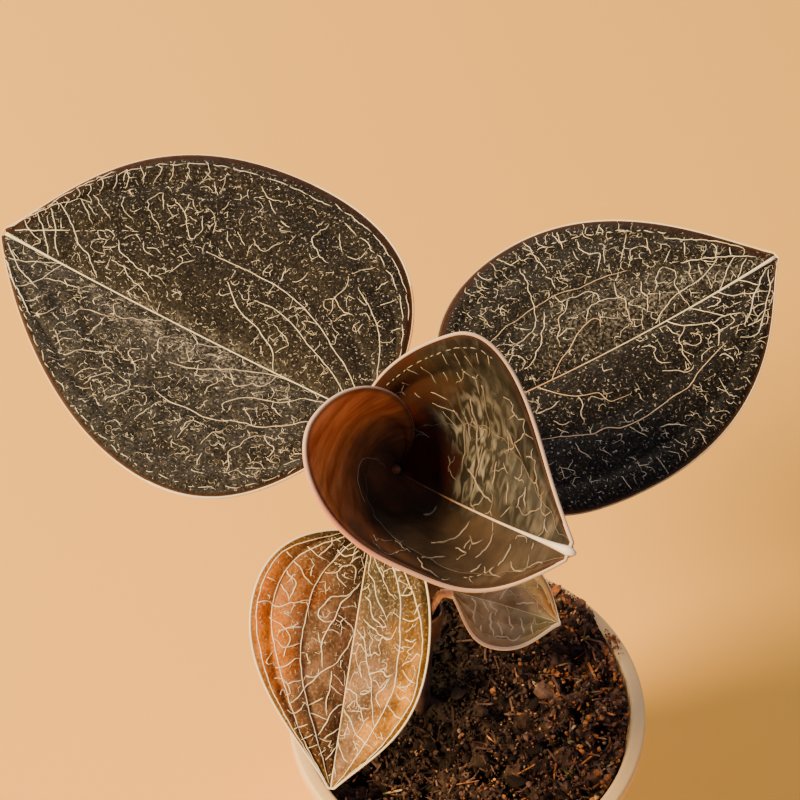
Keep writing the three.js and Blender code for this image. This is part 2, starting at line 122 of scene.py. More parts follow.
def moulded_polypropylene():
    # Cream polypropylene, moulded: a soft, slightly waxy gloss, faint clouds in the tone, and
    # painted shade in brown patches on the inner wall above the mix, darker towards the mix.
    material, add = blank_material("cream_polypropylene")
    place = add("TexCoord", out="Object")
    cloud, shade_blotches, grain = [
        add("TexNoise", place, 1000 / size, detail) for size, detail in [(22, 3), (1.6, 5), (0.5, 2)]
    ]
    plain = add("Mix", add("MapRange", cloud, 0.35, 0.68), "#efca8c", "#f9da9e")
    x, y, z = add("SeparateXYZ", place).node.outputs
    radius = add("VectorMath", add("CombineXYZ", x, y), operation="LENGTH")
    slope = (POT_NECK_R - POT_BASE_R) / (POT_HEIGHT - POT_FLOOR)
    foot_r = add("Math", z, -slope, radius, operation="MULTIPLY_ADD")
    inner_foot = POT_BASE_R - POT_WALL
    # painted shade: the inner wall turns brown in patches, more so further down towards the mix
    inside = add("MapRange", foot_r, (inner_foot + 0.5) * MM, inner_foot * MM)
    low = add("MapRange", z, (POT_HEIGHT - 0.5) * MM, (POT_HEIGHT - 5) * MM)
    painted_lighting_patches = add("Math", add("Math", low, add("MapRange", shade_blotches, 0.42, 0.6)), inside, use_clamp=True)
    add("OutputMaterial", add(
        "BsdfPrincipled", Base_Color=add("Mix", painted_lighting_patches, plain, "#5b4331"),
        Roughness=add("MapRange", cloud, 0, 1, 0.34, 0.52), IOR=1.49, Subsurface_Weight=0.12,
        Subsurface_Radius=(1.2, 0.9, 0.6), Subsurface_Scale=0.001,
        Normal=add("Bump", Height=grain, Distance=0.02 * MM, Strength=0.6),
    ))
    return material


only()
bpy.ops.mesh.primitive_circle_add(vertices=POT_SEGMENTS, radius=POT_BASE_R * MM, fill_type="NGON")
pot = bpy.context.object
pot.name = "nursery_pot"
bpy.ops.object.mode_set(mode="EDIT")
rim_under = POT_HEIGHT - RIM_BAND
at_r, at_z = POT_BASE_R, 0.0
for r, z in [
    (POT_NECK_R - 0.3, rim_under), (POT_RIM_R, rim_under + 0.1), (POT_RIM_R, POT_HEIGHT),
    (inner_wall(POT_HEIGHT), POT_HEIGHT), (inner_wall(POT_FLOOR), POT_FLOOR),
]:
    bpy.ops.mesh.extrude_region_move(TRANSFORM_OT_translate={"value": (0, 0, (z - at_z) * MM)})
    bpy.ops.transform.resize(value=(r / at_r, r / at_r, 1))
    at_r, at_z = r, z
bpy.ops.object.mode_set(mode="OBJECT")
face_out(pot)
for width, ring in [
    (0.6, lambda p: p.z > POT_HEIGHT - 0.1),                                        # the rim's lips
    (0.4, lambda p: abs(p.z - rim_under) < 0.2 and p.xy.length > POT_RIM_R - 0.1),  # under the band
    (0.8, lambda p: p.z < 0.1),                                                     # the foot
    (0.6, lambda p: abs(p.z - POT_FLOOR) < 0.1),                                    # inside, at the floor
]:
    pick(pot, ring)
    bpy.ops.mesh.bevel(offset=width * MM, segments=4, affect="EDGES")
bpy.ops.object.mode_set(mode="OBJECT")
drills = []
for i in range(DRAIN_HOLES):
    a = (i + 0.5) / DRAIN_HOLES * 2 * pi
    bpy.ops.mesh.primitive_cylinder_add(
        vertices=32, radius=DRAIN_HOLE_R * MM, depth=6 * MM,
        location=(DRAIN_RING_R * cos(a) * MM, DRAIN_RING_R * sin(a) * MM, MM),
    )
    drills.append(bpy.context.object)
only(*drills)
bpy.ops.object.join()
drill = bpy.context.object
cut = pot.modifiers.new("drain holes", "BOOLEAN")
cut.operation, cut.solver, cut.object = "DIFFERENCE", "EXACT", drill
only(pot)
bpy.ops.object.modifier_apply(modifier=cut.name)
bpy.data.objects.remove(drill)
bpy.ops.object.shade_smooth_by_angle(angle=radians(35))
pot.data.materials.append(moulded_polypropylene())
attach(pot, "root")
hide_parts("pot")

# ---------------------------------------------------------------- potting mix
# Fine composted bark and peat, poured in loose: a crumbly near-black bed heaped to the back right
# and sunk from the wall at the front left, strewn with rust, tan and a few greenish bark chips.
GAP = 0.3
SOIL_LEVEL, SOIL_TILT = 50.6, 0.1
HEAP_AT, HEAP_RISE, HEAP_REACH = (19, 17), 3.4, 7
DIP_AT, DIP_DEPTH, DIP_REACH = (-18, -17), 3.4, 8
BED_GRID, BED_R = 150, 27
CHIPS, CHIP_SMALL, CHIP_LARGE, CHIP_REACH = 80, 0.9, 2.3, 26.5
RIM_CHIPS, RIM_CHIPS_FROM, RIM_CHIPS_R = 6, 40, 26.4     # how many, from which degree, how far out
CRUMBS = 3600            # single crumbs of peat and bark
CLUMPS = 1700            # crumbs that stick together in small heaps
FIBRES = 900             # thin fibres and flakes
LODGED = 1100            # crumbs caught against the wall, most of them about one side
LODGED_SIDE, LODGED_SPREAD = 35, 62      # in degrees
SPILT = 170              # crumbs on the rim, in a few small heaps
SPILT_HEAPS, SPILT_R = [26, 47, 52, 57, 62], 28.6
STEM_FOOT, STEM_R = (-7.5, 3.6), 1.45


def seeded(seed):
    """Draws numbers from 0 to 1, the same ones each time."""
    state = seed
    while True:
        state = (state * 1664525 + 1013904223) % 4294967296
        yield state / 4294967296


wave_draws = seeded(11)
WAVES = []
for i in range(14):
    turn, pace = next(wave_draws) * 2 * pi, 0.35 + 0.09 * i
    WAVES.append((pace * cos(turn), pace * sin(turn), next(wave_draws) * 6.3, 0.34 - 0.012 * i))


def soil_height(x, y):
    """The height of the bed at x, y."""
    rise = SOIL_TILT * (x * cos(radians(40)) + y * sin(radians(40)))
    heap = HEAP_RISE * np.exp(-((x - HEAP_AT[0]) ** 2 + (y - HEAP_AT[1]) ** 2) / (2 * HEAP_REACH ** 2))
    dip = DIP_DEPTH * np.exp(-((x - DIP_AT[0]) ** 2 + (y - DIP_AT[1]) ** 2) / (2 * DIP_REACH ** 2))
    uneven = sum(high * np.sin(wx * x + wy * y + shift) for wx, wy, shift, high in WAVES)
    return SOIL_LEVEL + rise + heap - dip + uneven


def soil_edge(z):
    """How far out the mix reaches at height z."""
    return inner_wall(np.minimum(z, POT_HEIGHT)) - GAP - 0.05


def off_stem(x, y):
    return np.hypot(x - STEM_FOOT[0], y - STEM_FOOT[1])


def painted_shade_on_mix(x, y):
    """How much painted shade darkens the mix beside the stem, under the leaves; below 0 where the mix is
    painted lighter on the right.
    """
    return 0.85 * np.exp(-((x + 7) / 9) ** 2 - ((y - 8) / 12) ** 2) - 0.25 * np.clip((x - 6) / 12, 0, 1)


def bark_mix():
    # Damp peat and composted bark: matt and near black, with each chip in its own tone, from
    # black-brown through rust to pale tan, and a fine crumb all over.
    material, add = blank_material("peat_and_bark")
    place = add("TexCoord", out="Object")
    mottle = add("TexNoise", place, 1000 / 1.1, 4)
    crumb = add("TexNoise", place, 1000 / 0.35, 4)
    tone = add("Attribute", attribute_name="tone", out="Fac")
    shade = add("Math", tone, add("MapRange", mottle, 0.3, 0.7, -0.1, 0.1), operation="ADD", use_clamp=True)
    colour = add("ValToRGB", shade)
    ramp = colour.node.color_ramp
    stops = [(0.0, "#0a0604"), (0.3, "#241812"), (0.5, "#47342a"), (0.6, "#694f43"), (0.68, "#806253"),
             (0.76, "#9a5a30"), (0.84, "#c98247"), (0.91, "#cbaa85"), (1.0, "#50532e")]
    for at, _ in stops[1:-1]:
        ramp.elements.new(at)
    for element, (at, hue) in zip(ramp.elements, stops):
        element.position, element.color = at, linear(hue)
    add("OutputMaterial", add(
        "BsdfPrincipled", Base_Color=colour, Roughness=add("MapRange", mottle, 0, 1, 0.6, 0.95), IOR=1.4,
        Specular_IOR_Level=0.25, Normal=add("Bump", Height=crumb, Distance=0.18 * MM, Strength=0.9),
    ))
    return material


only()
bpy.ops.mesh.primitive_grid_add(x_subdivisions=BED_GRID, y_subdivisions=BED_GRID, size=2)
bed = bpy.context.object
bed.name = "potting_mix_bed"
u, v = np.array([v.co for v in bed.data.vertices])[:, :2].T
disc_x, disc_y = u * np.sqrt(1 - v * v / 2), v * np.sqrt(1 - u * u / 2)   # the square drawn out to a disc
turns, shares = np.arctan2(disc_y, disc_x), np.hypot(disc_x, disc_y)
reach = shares * soil_edge(soil_height(BED_R * np.cos(turns), BED_R * np.sin(turns)))
bed_x, bed_y = np.cos(turns) * reach, np.sin(turns) * reach
smooth_z = soil_height(BED_R * shares * np.cos(turns), BED_R * shares * np.sin(turns))
bed_z = smooth_z.copy()
for k, (x, y) in enumerate(zip(bed_x, bed_y)):
    spot = Vector((x, y, 3.0))
    hollow = max(noise.noise(spot * 0.28), 0.0) * min(1.0, 8 * (1 - shares[k]))
    lumps = 0.6 * noise.fractal(spot * 0.9, 0.7, 2.1, 4) - 0.35 * noise.voronoi(spot * 0.8)[0][0]
    bed_z[k] += lumps - 3.2 * hollow + 0.3
bed.data.vertices.foreach_set("co", (np.column_stack([bed_x, bed_y, bed_z]) * MM).ravel())
bpy.ops.object.mode_set(mode="EDIT")
bpy.ops.mesh.select_mode(type="EDGE")
bpy.ops.mesh.select_all(action="DESELECT")
bpy.ops.mesh.select_non_manifold()
floor = POT_FLOOR + GAP
for z, r in [(24.0, soil_edge(24.0)), (floor + 1.2, soil_edge(floor + 1.2)), (floor, soil_edge(floor) - 0.7)]:
    bpy.ops.mesh.extrude_edges_move()
    bpy.ops.object.mode_set(mode="OBJECT")
    for vertex in bed.data.vertices:
        if vertex.select:
            way = vertex.co.xy.normalized() * r * MM
            vertex.co = (way.x, way.y, z * MM)
    bpy.ops.object.mode_set(mode="EDIT")
bpy.ops.mesh.edge_face_add()
bpy.ops.object.mode_set(mode="OBJECT")
face_out(bed)


def taken_off():
    """The points and faces of the newest primitive, which is then removed."""
    piece = bpy.context.object
    points = np.array([v.co for v in piece.data.vertices])
    faces = np.array([list(p.vertices) for p in piece.data.polygons])
    bpy.data.objects.remove(piece)
    return points, faces


# one lump, modelled once: a cube cut in eight and rounded half way to a ball
only()
bpy.ops.mesh.primitive_cube_add(size=2)
bpy.ops.object.mode_set(mode="EDIT")
bpy.ops.mesh.subdivide(number_cuts=1)
bpy.ops.transform.tosphere(value=0.55)
bpy.ops.object.mode_set(mode="OBJECT")
LUMP_POINTS, LUMP_FACES = taken_off()
bpy.ops.mesh.primitive_ico_sphere_add(subdivisions=1, radius=1)
CRUMB_POINTS, CRUMB_FACES = taken_off()
bpy.ops.mesh.primitive_cube_add(size=2)
FLAKE_POINTS, FLAKE_FACES = taken_off()


def turned(ax, ay, az):
    """Turns about X, then Y, then Z."""
    rx = np.array([[1, 0, 0], [0, cos(ax), -sin(ax)], [0, sin(ax), cos(ax)]])
    ry = np.array([[cos(ay), 0, sin(ay)], [0, 1, 0], [-sin(ay), 0, cos(ay)]])
    rz = np.array([[cos(az), -sin(az), 0], [sin(az), cos(az), 0], [0, 0, 1]])
    return rz @ ry @ rx


def tone_of(draw):
    """The tone of one bit of the mix: mostly black-brown, some grey brown, a little rust and tan."""
    kind = draw.random()
    for share, low, high in [(0.42, 0.12, 0.45), (0.89, 0.45, 0.66), (0.965, 0.66, 0.8), (0.992, 0.82, 0.9)]:
        if kind < share:
            return draw.uniform(low, high)
    return draw.uniform(0.95, 1.0)


def bark_chip(long, flat):
    """A chip's half sizes, and how far each of its corners is pulled in or out."""
    wide = (0.9 + 0.6 * next(chip_draws)) * long / 2
    return (long, wide, flat / 2), np.array([0.7 + 0.45 * next(chip_draws) for _ in range(8)])


def pulled(points, size, pull):
    """The points of a lump stretched to a chip's size, with its corners pulled."""
    near = (points[:, None, :] * np.array([[x, y, z] for z in (-1, 1) for y in (-1, 1) for x in (-1, 1)])) + 1
    weight = near.prod(axis=2) / 8
    k = (weight * pull).sum(axis=1) / weight.sum(axis=1)
    return points * np.array(size) * np.column_stack([k, k, 0.75 + 0.25 * k])


def toned_piece(name, corners, faces, tones):
    """A piece of corners in mm and faces. The tone of each corner is kept for its material."""
    mesh = bpy.data.meshes.new(name)
    mesh.from_pydata(np.concatenate(corners) * MM, [], faces)
    mesh.attributes.new("tone", "FLOAT", "POINT").data.foreach_set("value", np.concatenate(tones))
    made = bpy.data.objects.new(name, mesh)
    bpy.context.collection.objects.link(made)
    return made


def strewn(name, bits):
    """The bits, each its faces, corners and tone, as one piece."""
    corners, faces, tones, count = [], [], [], 0
    for sides, shape, tone in bits:
        corners.append(shape)
        faces.extend((sides + count).tolist())
        # painted shade: each bit's tone is darkened beside the stem under the leaves, and lifted on the right
        tones.append(tone * (1 - painted_shade_on_mix(shape[:, 0], shape[:, 1])))
        count += len(shape)
    return toned_piece(name, corners, faces, tones)


bits = []
chip_draws = seeded(7)
scatter = np.random.default_rng(5)
for n in range(CHIPS):
    out, turn = CHIP_REACH * next(chip_draws) ** 0.5, next(chip_draws) * 2 * pi
    long = CHIP_SMALL + (CHIP_LARGE - CHIP_SMALL) * next(chip_draws) ** 2
    x, y = out * cos(turn), out * sin(turn)
    z = soil_height(x, y) + 0.15 * long
    size, pull = bark_chip(long, 0.9 * long)
    tilt = turned(next(chip_draws) * 1.2 - 0.6, next(chip_draws) * 1.2 - 0.6, next(chip_draws) * 6.3)
    if out + 1.5 * long > soil_edge(z - long) or off_stem(x, y) < 1.6 * long + STEM_R:
        continue
    shape = 0.8 * pulled(LUMP_POINTS, size, pull) * scatter.uniform(0.7, 1.15, (len(LUMP_POINTS), 1))
    bits.append((LUMP_FACES, shape @ tilt.T + (x, y, z), scatter.uniform(0.1, 0.55)))
for n in range(RIM_CHIPS):
    turn, out = radians(RIM_CHIPS_FROM + 5 * n), RIM_CHIPS_R + 1.9 * next(chip_draws)
    size, pull = bark_chip(1.3 + 0.4 * next(chip_draws), 1)
    uneven = scatter.uniform(0.7, 1.1, (len(LUMP_POINTS), 1))
    shape = 0.9 * pulled(LUMP_POINTS, size, pull) * uneven @ turned(0, 0, turn).T
    spot = (out * cos(turn), out * sin(turn), POT_HEIGHT + GAP + 0.55)
    bits.append((LUMP_FACES, shape + spot, 0.5 + 0.03 * n))

corners = np.array([v.co for v in bed.data.vertices]) / MM
# painted shade: the bed is darker in its hollows and lighter on its lumps, by its relief
relief = corners[:, 2].copy()
relief[:len(smooth_z)] -= smooth_z
# painted shade beside the stem, and painted light on the right, as for the bits
bed_tone = np.clip(0.36 + 0.22 * relief, 0.02, 0.62) * (1 - painted_shade_on_mix(corners[:, 0], corners[:, 1]))
bed.data.attributes.new("tone", "FLOAT", "POINT").data.foreach_set("value", bed_tone)
only(strewn("bark chips", bits), bed)
bpy.ops.object.join()
bpy.ops.object.shade_smooth_by_angle(angle=radians(40))
peat_and_bark = bark_mix()
bed.data.materials.append(peat_and_bark)
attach(bed, "root")
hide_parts("potting_mix")

# the fine crumbs and fibres, and what clings to the wall
bits = []
for kind, many in [
    ("crumb", CRUMBS), ("clump", CLUMPS), ("fibre", FIBRES), ("lodged", LODGED), ("spilt", SPILT),
]:
    for n in range(many):
        out, turn = BED_R * scatter.random() ** 0.5, scatter.uniform(0, 2 * pi)
        long = min(scatter.lognormal(-1.2, 0.4), 0.9)
        x, y = out * cos(turn), out * sin(turn)
        z = soil_height(x, y) + scatter.uniform(-0.1, 0.35) + 0.3 * long
        if kind == "clump":
            if n % 12 == 0:        # twelve crumbs to a heap
                heap_x, heap_y = x * 0.93, y * 0.93
                heap_r, heap_h = scatter.uniform(0.7, 1.6), scatter.uniform(0.6, 1.5)
            a, r = scatter.uniform(0, 2 * pi), heap_r * scatter.random() ** 0.5
            x, y = heap_x + r * cos(a), heap_y + r * sin(a)
            z = soil_height(x, y) + heap_h * (1 - (r / heap_r) ** 2) + 0.1
        if kind == "lodged":
            turn = radians(scatter.normal(LODGED_SIDE, LODGED_SPREAD))
            level = soil_height(CHIP_REACH * cos(turn), CHIP_REACH * sin(turn))
            z = min(level + 0.4 + 2.2 * scatter.random() ** 1.6, POT_HEIGHT - 0.1)
            out = soil_edge(z) - 0.75 * long - 0.5 * scatter.random()
            x, y = out * cos(turn), out * sin(turn)
        if kind == "spilt":
            turn, long = radians(scatter.choice(SPILT_HEAPS) + scatter.normal(0, 3.2)), long * 0.8
            out, z = SPILT_R + scatter.normal(0, 0.5), POT_HEIGHT + 0.35 * long + 0.5 * scatter.random() ** 2
            x, y = out * cos(turn), out * sin(turn)
        size = long * np.array([1, scatter.uniform(0.55, 0.95), scatter.uniform(0.5, 0.85)])
        points, faces, lean = CRUMB_POINTS, CRUMB_FACES, 1.5
        if kind == "fibre":
            long = scatter.uniform(0.6, 2.0)
            size = np.array([long, scatter.uniform(0.08, 0.2), scatter.uniform(0.05, 0.13)])
            points, faces, lean = FLAKE_POINTS, FLAKE_FACES, 0.45
        past_wall = np.hypot(x, y) + 0.7 * long > soil_edge(z)
        if kind != "spilt" and (past_wall or off_stem(x, y) < STEM_R + 0.4 + long):
            continue
        tilt = turned(scatter.uniform(-lean, lean), scatter.uniform(-lean, lean), scatter.uniform(0, 6.3))
        shape = points * size * scatter.uniform(0.7, 1.2, (len(points), 1))
        tone = tone_of(scatter)
        if kind == "spilt" or out > 26.2 and 15 < np.degrees(turn) < 70:
            tone = scatter.uniform(0.5, 0.7)
        bits.append((faces, shape @ tilt.T + (x, y, z), tone))
crumbs = strewn("potting_mix_crumbs", bits)
only(crumbs)
bpy.ops.object.shade_smooth_by_angle(angle=radians(50))
crumbs.data.materials.append(peat_and_bark)
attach(crumbs, "root")
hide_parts("potting_mix")

# ---------------------------------------------------------------- stem
# One slim fleshy stem, pinkish brown and finely streaked, that rises from the mix and leans back a
# little at each joint. It grew in one piece and stands in a plain hole in the mix.
STEM_LINE = [
    (-7.6, 2.6, 34), (-7.5, 3.6, 51), (-7.2, 5.0, 65), (-7.4, 6.3, 77), (-9.0, 8.2, 90), (-11.2, 10.4, 100.5),
    (-12.2, 11.4, 105.1),
]
THROAT = np.array(STEM_LINE[-1])       # where the youngest leaf opens
STEM_STOP = 0.45                       # how far under the throat the stem ends
STEM_SPANS, STEM_WAIST = 12, 0.06      # stretches between joints, and how much slimmer each is half way


def smooth_line(points, count):
    """Evenly spaced points on a centripetal curve through the given ones."""
    p = np.array(points, float)
    p = np.vstack([2 * p[0] - p[1], p, 2 * p[-1] - p[-2]])
    knots = np.concatenate([[0], np.cumsum(np.linalg.norm(np.diff(p, axis=0), axis=1) ** 0.5)])
    dense = []
    for i in range(1, len(p) - 2):
        t = np.linspace(knots[i], knots[i + 1], 60, endpoint=i == len(p) - 3)[:, None]
        t0, t1, t2, t3 = knots[i - 1:i + 3]
        a1 = ((t1 - t) * p[i - 1] + (t - t0) * p[i]) / (t1 - t0)
        a2 = ((t2 - t) * p[i] + (t - t1) * p[i + 1]) / (t2 - t1)
        a3 = ((t3 - t) * p[i + 1] + (t - t2) * p[i + 2]) / (t3 - t2)
        b1 = ((t2 - t) * a1 + (t - t0) * a2) / (t2 - t0)
        b2 = ((t3 - t) * a2 + (t - t1) * a3) / (t3 - t1)
        dense.append(((t2 - t) * b1 + (t - t1) * b2) / (t2 - t1))
    dense = np.vstack(dense)
    along = np.concatenate([[0], np.cumsum(np.linalg.norm(np.diff(dense, axis=0), axis=1))])
    at = np.linspace(0, along[-1], count)
    return np.column_stack([np.interp(at, along, dense[:, k]) for k in range(3)])


def rod(name, points, radii, sides, capped=True):
    """A round rod drawn along points, with its own radius at each: a bevelled curve made a mesh."""
    curve = bpy.data.curves.new(name, "CURVE")
    curve.dimensions = "3D"
    curve.bevel_depth = MM
    curve.bevel_resolution = (sides - 4) // 2
    curve.use_fill_caps = capped
    spline = curve.splines.new("POLY")
    spline.points.add(len(points) - 1)
    spline.points.foreach_set("co", np.column_stack([np.array(points) * MM, np.ones(len(points))]).ravel())
    spline.points.foreach_set("radius", np.array(radii, float))
    made = bpy.data.objects.new(name, curve)
    bpy.context.collection.objects.link(made)
    only(made)
    bpy.ops.object.convert(target="MESH")
    face_out(bpy.context.object, merge=0.001 * MM)
    bpy.ops.object.shade_smooth()
    return bpy.context.object


def fleshy_skin(name, dark, light, streak):
    # Juicy plant skin: a soft sheen, light that sinks in a little, and fine streaks and freckles
    # that run along the stalk.
    material, add = blank_material(name)
    place = add("TexCoord", out="Object")
    fine = add("TexNoise", add("Mapping", place, Scale=(1, 1, 0.22)), 1000 / 0.6, 3)
    tone = add("MapRange", add("TexNoise", place, 1000 / 5, 3), 0.35, 0.65)
    lines = add("MapRange", fine, 0.52, 0.68, 0, 0.6)
    add("OutputMaterial", add(
        "BsdfPrincipled", Base_Color=add("Mix", lines, add("Mix", tone, dark, light), streak),
        Roughness=0.42, IOR=1.42, Subsurface_Weight=0.25, Subsurface_Radius=(1.0, 0.5, 0.3),
        Subsurface_Scale=0.0012, Normal=add("Bump", Height=fine, Distance=0.05 * MM, Strength=0.7),
    ))
    return material


stem_points = smooth_line(STEM_LINE, 400)
stem_run = stem_points[stem_points[:, 2] <= THROAT[2] - STEM_STOP][::3]
joint_waves = np.sin(np.linspace(0, 1, len(stem_run)) * STEM_SPANS * pi)
stem = rod("stem_with_joints", stem_run, STEM_R * (1 - STEM_WAIST * joint_waves ** 2), sides=28)
# the stem flesh is darkened as painted shade, for the leaves' shade over the stem
stem.data.materials.append(fleshy_skin("stem_flesh", "#3e2c26", "#5c443a", "#30201a"))
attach(stem, "root")
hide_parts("stem")

# ---------------------------------------------------------------- large left leaf
# The largest leaf: a velvety, near-black blade with a net of cream-gold veins. Blade, stalk and the
# sheath round the stem grew as one piece. The blade swells between its ribs and is thinner at the edge.
SHEATH_WALL, SHEATH_SKIN = 0.7, 0.55     # how far it stands out past its gap round the stem, and how thick
BLADE = 0.7              # thickness between the ribs
MIDRIB_KEEL, MIDRIB_WIDE = 0.8, 0.8      # extra under the midrib, and how far to its sides
LATERAL_KEEL, LATERAL_WIDE = 0.4, 0.5    # the same under the long side veins
QUILT = 0.45             # how far the skin swells between the ribs
ROLL_SPAN = 0.84         # how far out, in leaf lengths, a roll of 1 drops as much as it goes out
LATERALS = (0.45, 0.8)   # where the side veins run, as shares of the half width
FLAT_MM = 100.0          # millimetres of flat leaf to one unit of its UV map
LAST_T = 0.985           # how far along the leaf the blade and its edge go

leaf_large_left = {
    "name": "leaf_large_left", "length": 69.4, "base": (-15.2, 18.0, 108.8), "yaw": 151.1, "pitch": 8,
    # the midrib droops and sags, and its left and right halves rise by degrees and roll down
    "droop": 0.06, "sag": 0.02, "rise": (6, 22), "roll": (0.15, 0.2), "stalk_r": 1.25,
    # width, widest, lobe, full, before, after, tip handle, tip angle of each half
    "left": (28.3, 0.33, -0.06, 0.67, 0.18, 0.26, 0.21, 50),
    "right": (33.0, 0.42, 0.01, 0.72, 0.23, 0.45, 0.13, 52),
    "sheath": (93.6, 98.8), "stalk": [(-13.2, 14.2, 101.5), (-14.3, 16.3, 105.5)],
}


def bezier(a, b, c, d, u):
    s = 1 - u
    return s ** 3 * a + 3 * s * s * u * b + 3 * s * u * u * c + u ** 3 * d


def half_margin(length, shape, t):
    """The margin of one half of the flat leaf at t = 0 (base) to 1 (tip): x along, y out."""
    width, widest, lobe, full, before, after, tip, angle = shape
    wide, handle, lean = widest * length, tip * length, radians(angle)
    u, v = 2 * t, 2 * t - 1
    x = np.where(t < 0.5, bezier(0, -lobe * length, wide - before * length, wide, u),
                 bezier(wide, wide + after * length, length - handle * cos(lean), length, v))
    y = np.where(t < 0.5, bezier(0, full * width, width, width, u),
                 bezier(width, width, handle * sin(lean), 0, v))
    return x, y


def flat_point(leaf, q, t):
    """Flat x, y of leaf shares q (-1 right margin, 0 midrib, 1 left margin) and t (0 base, 1 tip)."""
    left, right = (half_margin(leaf["length"], leaf[side], t) for side in ("left", "right"))
    mx, my = np.where(q >= 0, left[0], right[0]), np.where(q >= 0, left[1], right[1])
    cx = leaf["length"] * t ** 1.15
    return cx + (mx - cx) * np.abs(q), my * q


def leaf_shares(leaf, x, y):
    """The shares q and t of flat points x, y."""
    t = np.linspace(0.005, 0.995, 500)
    q, row = np.zeros(len(x)), np.zeros(len(x))
    for side, sign in (("left", 1), ("right", -1)):
        on = (y >= 0) == (sign > 0)
        mx, my = half_margin(leaf["length"], leaf[side], t)
        cx = leaf["length"] * t ** 1.15
        share = np.abs(y[on])[:, None] / my
        miss = np.abs(cx + (mx - cx) * share - x[on][:, None]) + 1e3 * (share > 1.03)
        best = miss.argmin(axis=1)
        row[on] = t[best]
        q[on] = sign * share[np.arange(len(best)), best]
    return q, row


def open_form(leaf):
    """Where flat points x, y lie on an open leaf, in mm."""
    yaw, pitch = radians(leaf["yaw"]), radians(leaf["pitch"])
    ahead = np.array([cos(yaw) * cos(pitch), sin(yaw) * cos(pitch), sin(pitch)])
    aside = np.array([-sin(yaw), cos(yaw), 0])
    above = np.cross(ahead, aside)
    length = leaf["length"]

    def form(x, y):
        rise = np.radians(np.where(y >= 0, *leaf["rise"]))
        roll = np.where(y >= 0, *leaf["roll"])
        s, out = x / length, np.abs(y)
        z = (-leaf["droop"] * length * s * s / 2 + leaf["sag"] * length * 4 * s * (s - 1)
             + out * np.sin(rise) - roll * out * out / (ROLL_SPAN * length))
        return (np.array(leaf["base"]) + x[:, None] * ahead + (y * np.cos(rise))[:, None] * aside
                + z[:, None] * above)

    leaf["above"] = above
    return form


def normals_of(leaf, x, y):
    """Unit normals of a leaf's smooth form, on its upper side."""
    e, form = 0.06, leaf["form"]
    n = leaf.get("facing", 1) * np.cross(form(x + e, y) - form(x - e, y), form(x, y + e) - form(x, y - e))
    return n / np.linalg.norm(n, axis=1)[:, None]


def quilt(leaf, x, y, q, t):
    """How far the upper face swells between the ribs, with the slow waves of a grown leaf."""
    stops = np.array([0, *LATERALS, 1.0])
    a = np.minimum(np.abs(q), 0.9999)
    i = np.searchsorted(stops, a, side="right") - 1
    swell = QUILT * np.sin(pi * (a - stops[i]) / (stops[i + 1] - stops[i])) * np.minimum(1, 4 * (1 - t))
    waves = (0.10 * np.sin(1.05 * x + 0.6 * np.sin(0.7 * y)) * np.sin(0.95 * y + 0.5 * np.sin(0.8 * x))
             + 0.05 * np.sin(2.1 * x + 1.3 * y) * np.sin(1.7 * y - 0.9 * x))
    return swell + leaf.get("wave", 1.0) * waves * np.clip((1 - a) * 6, 0, 1) * np.clip(a * 8, 0, 1)


def on_face(leaf, x, y, q, t):
    """Points on the upper face and the normals there."""
    n = normals_of(leaf, x, y)
    return leaf["form"](x, y) + n * quilt(leaf, x, y, q, t)[:, None], n


def inset_of(leaf, x, y):
    """Distance in mm from flat points to the leaf's margin."""
    t = np.linspace(0, 1, 240)
    ring = np.vstack([np.column_stack(half_margin(leaf["length"], leaf[side], t)) * (1, sign)
                      for side, sign in (("left", 1), ("right", -1))])
    far = np.empty(len(x))
    for i in range(0, len(x), 4000):
        gap = np.hypot(x[i:i + 4000, None] - ring[:, 0], y[i:i + 4000, None] - ring[:, 1])
        far[i:i + 4000] = gap.min(axis=1)
    return far


def blade(leaf, across, along, first=0.04):
    """The blade: a grid laid over the flat leaf, given its thickness, and set on the leaf's form."""
    only()
    bpy.ops.mesh.primitive_grid_add(x_subdivisions=across, y_subdivisions=along, size=2, calc_uvs=True)
    piece = bpy.context.object
    piece.name = leaf["name"] + "_blade"
    for material in leaf["skins"]:
        piece.data.materials.append(material)
    shell = piece.modifiers.new("thickness", "SOLIDIFY")
    shell.thickness, shell.offset = 0.01, -1
    shell.material_offset, shell.material_offset_rim = 1, 2
    bpy.ops.object.modifier_apply(modifier=shell.name)
    mesh = piece.data
    at = np.array([v.co for v in mesh.vertices])
    half = len(at) // 2
    q = at[:half, 0]
    t = first + (LAST_T - first) * (at[:half, 1] + 1) / 2
    x, y = flat_point(leaf, q, t)
    upper, n = on_face(leaf, x, y, q, t)
    inset = inset_of(leaf, x, y)
    width = np.where(q >= 0, leaf["left"][0], leaf["right"][0])
    keel = MIDRIB_KEEL * (1 - 0.6 * t) * np.exp(-(y / MIDRIB_WIDE) ** 2)
    for share in LATERALS:
        keel += LATERAL_KEEL * (1 - t) * np.exp(-((np.abs(q) - share) * width / LATERAL_WIDE) ** 2)
    thick = leaf.get("thick", BLADE) * (0.55 + 0.45 * np.clip(inset / 1.6, 0, 1)) + keel
    lower = leaf["form"](x, y) - n * thick[:, None]
    mesh.vertices.foreach_set("co", (np.vstack([upper, lower]) * MM).ravel())
    shares = mesh.attributes.new("leaf", "FLOAT_VECTOR", "POINT")
    shares.data.foreach_set("vector", np.tile(np.column_stack([q, t, inset]), (2, 1)).ravel())
    corner = np.empty(len(mesh.loops), int)
    mesh.loops.foreach_get("vertex_index", corner)
    flat = np.column_stack([x / FLAT_MM + 0.15, y / FLAT_MM + 0.5])[corner % half]
    mesh.uv_layers[0].data.foreach_set("uv", flat.ravel())
    face_out(piece)
    bpy.ops.object.shade_smooth_by_angle(angle=radians(60))
    return piece


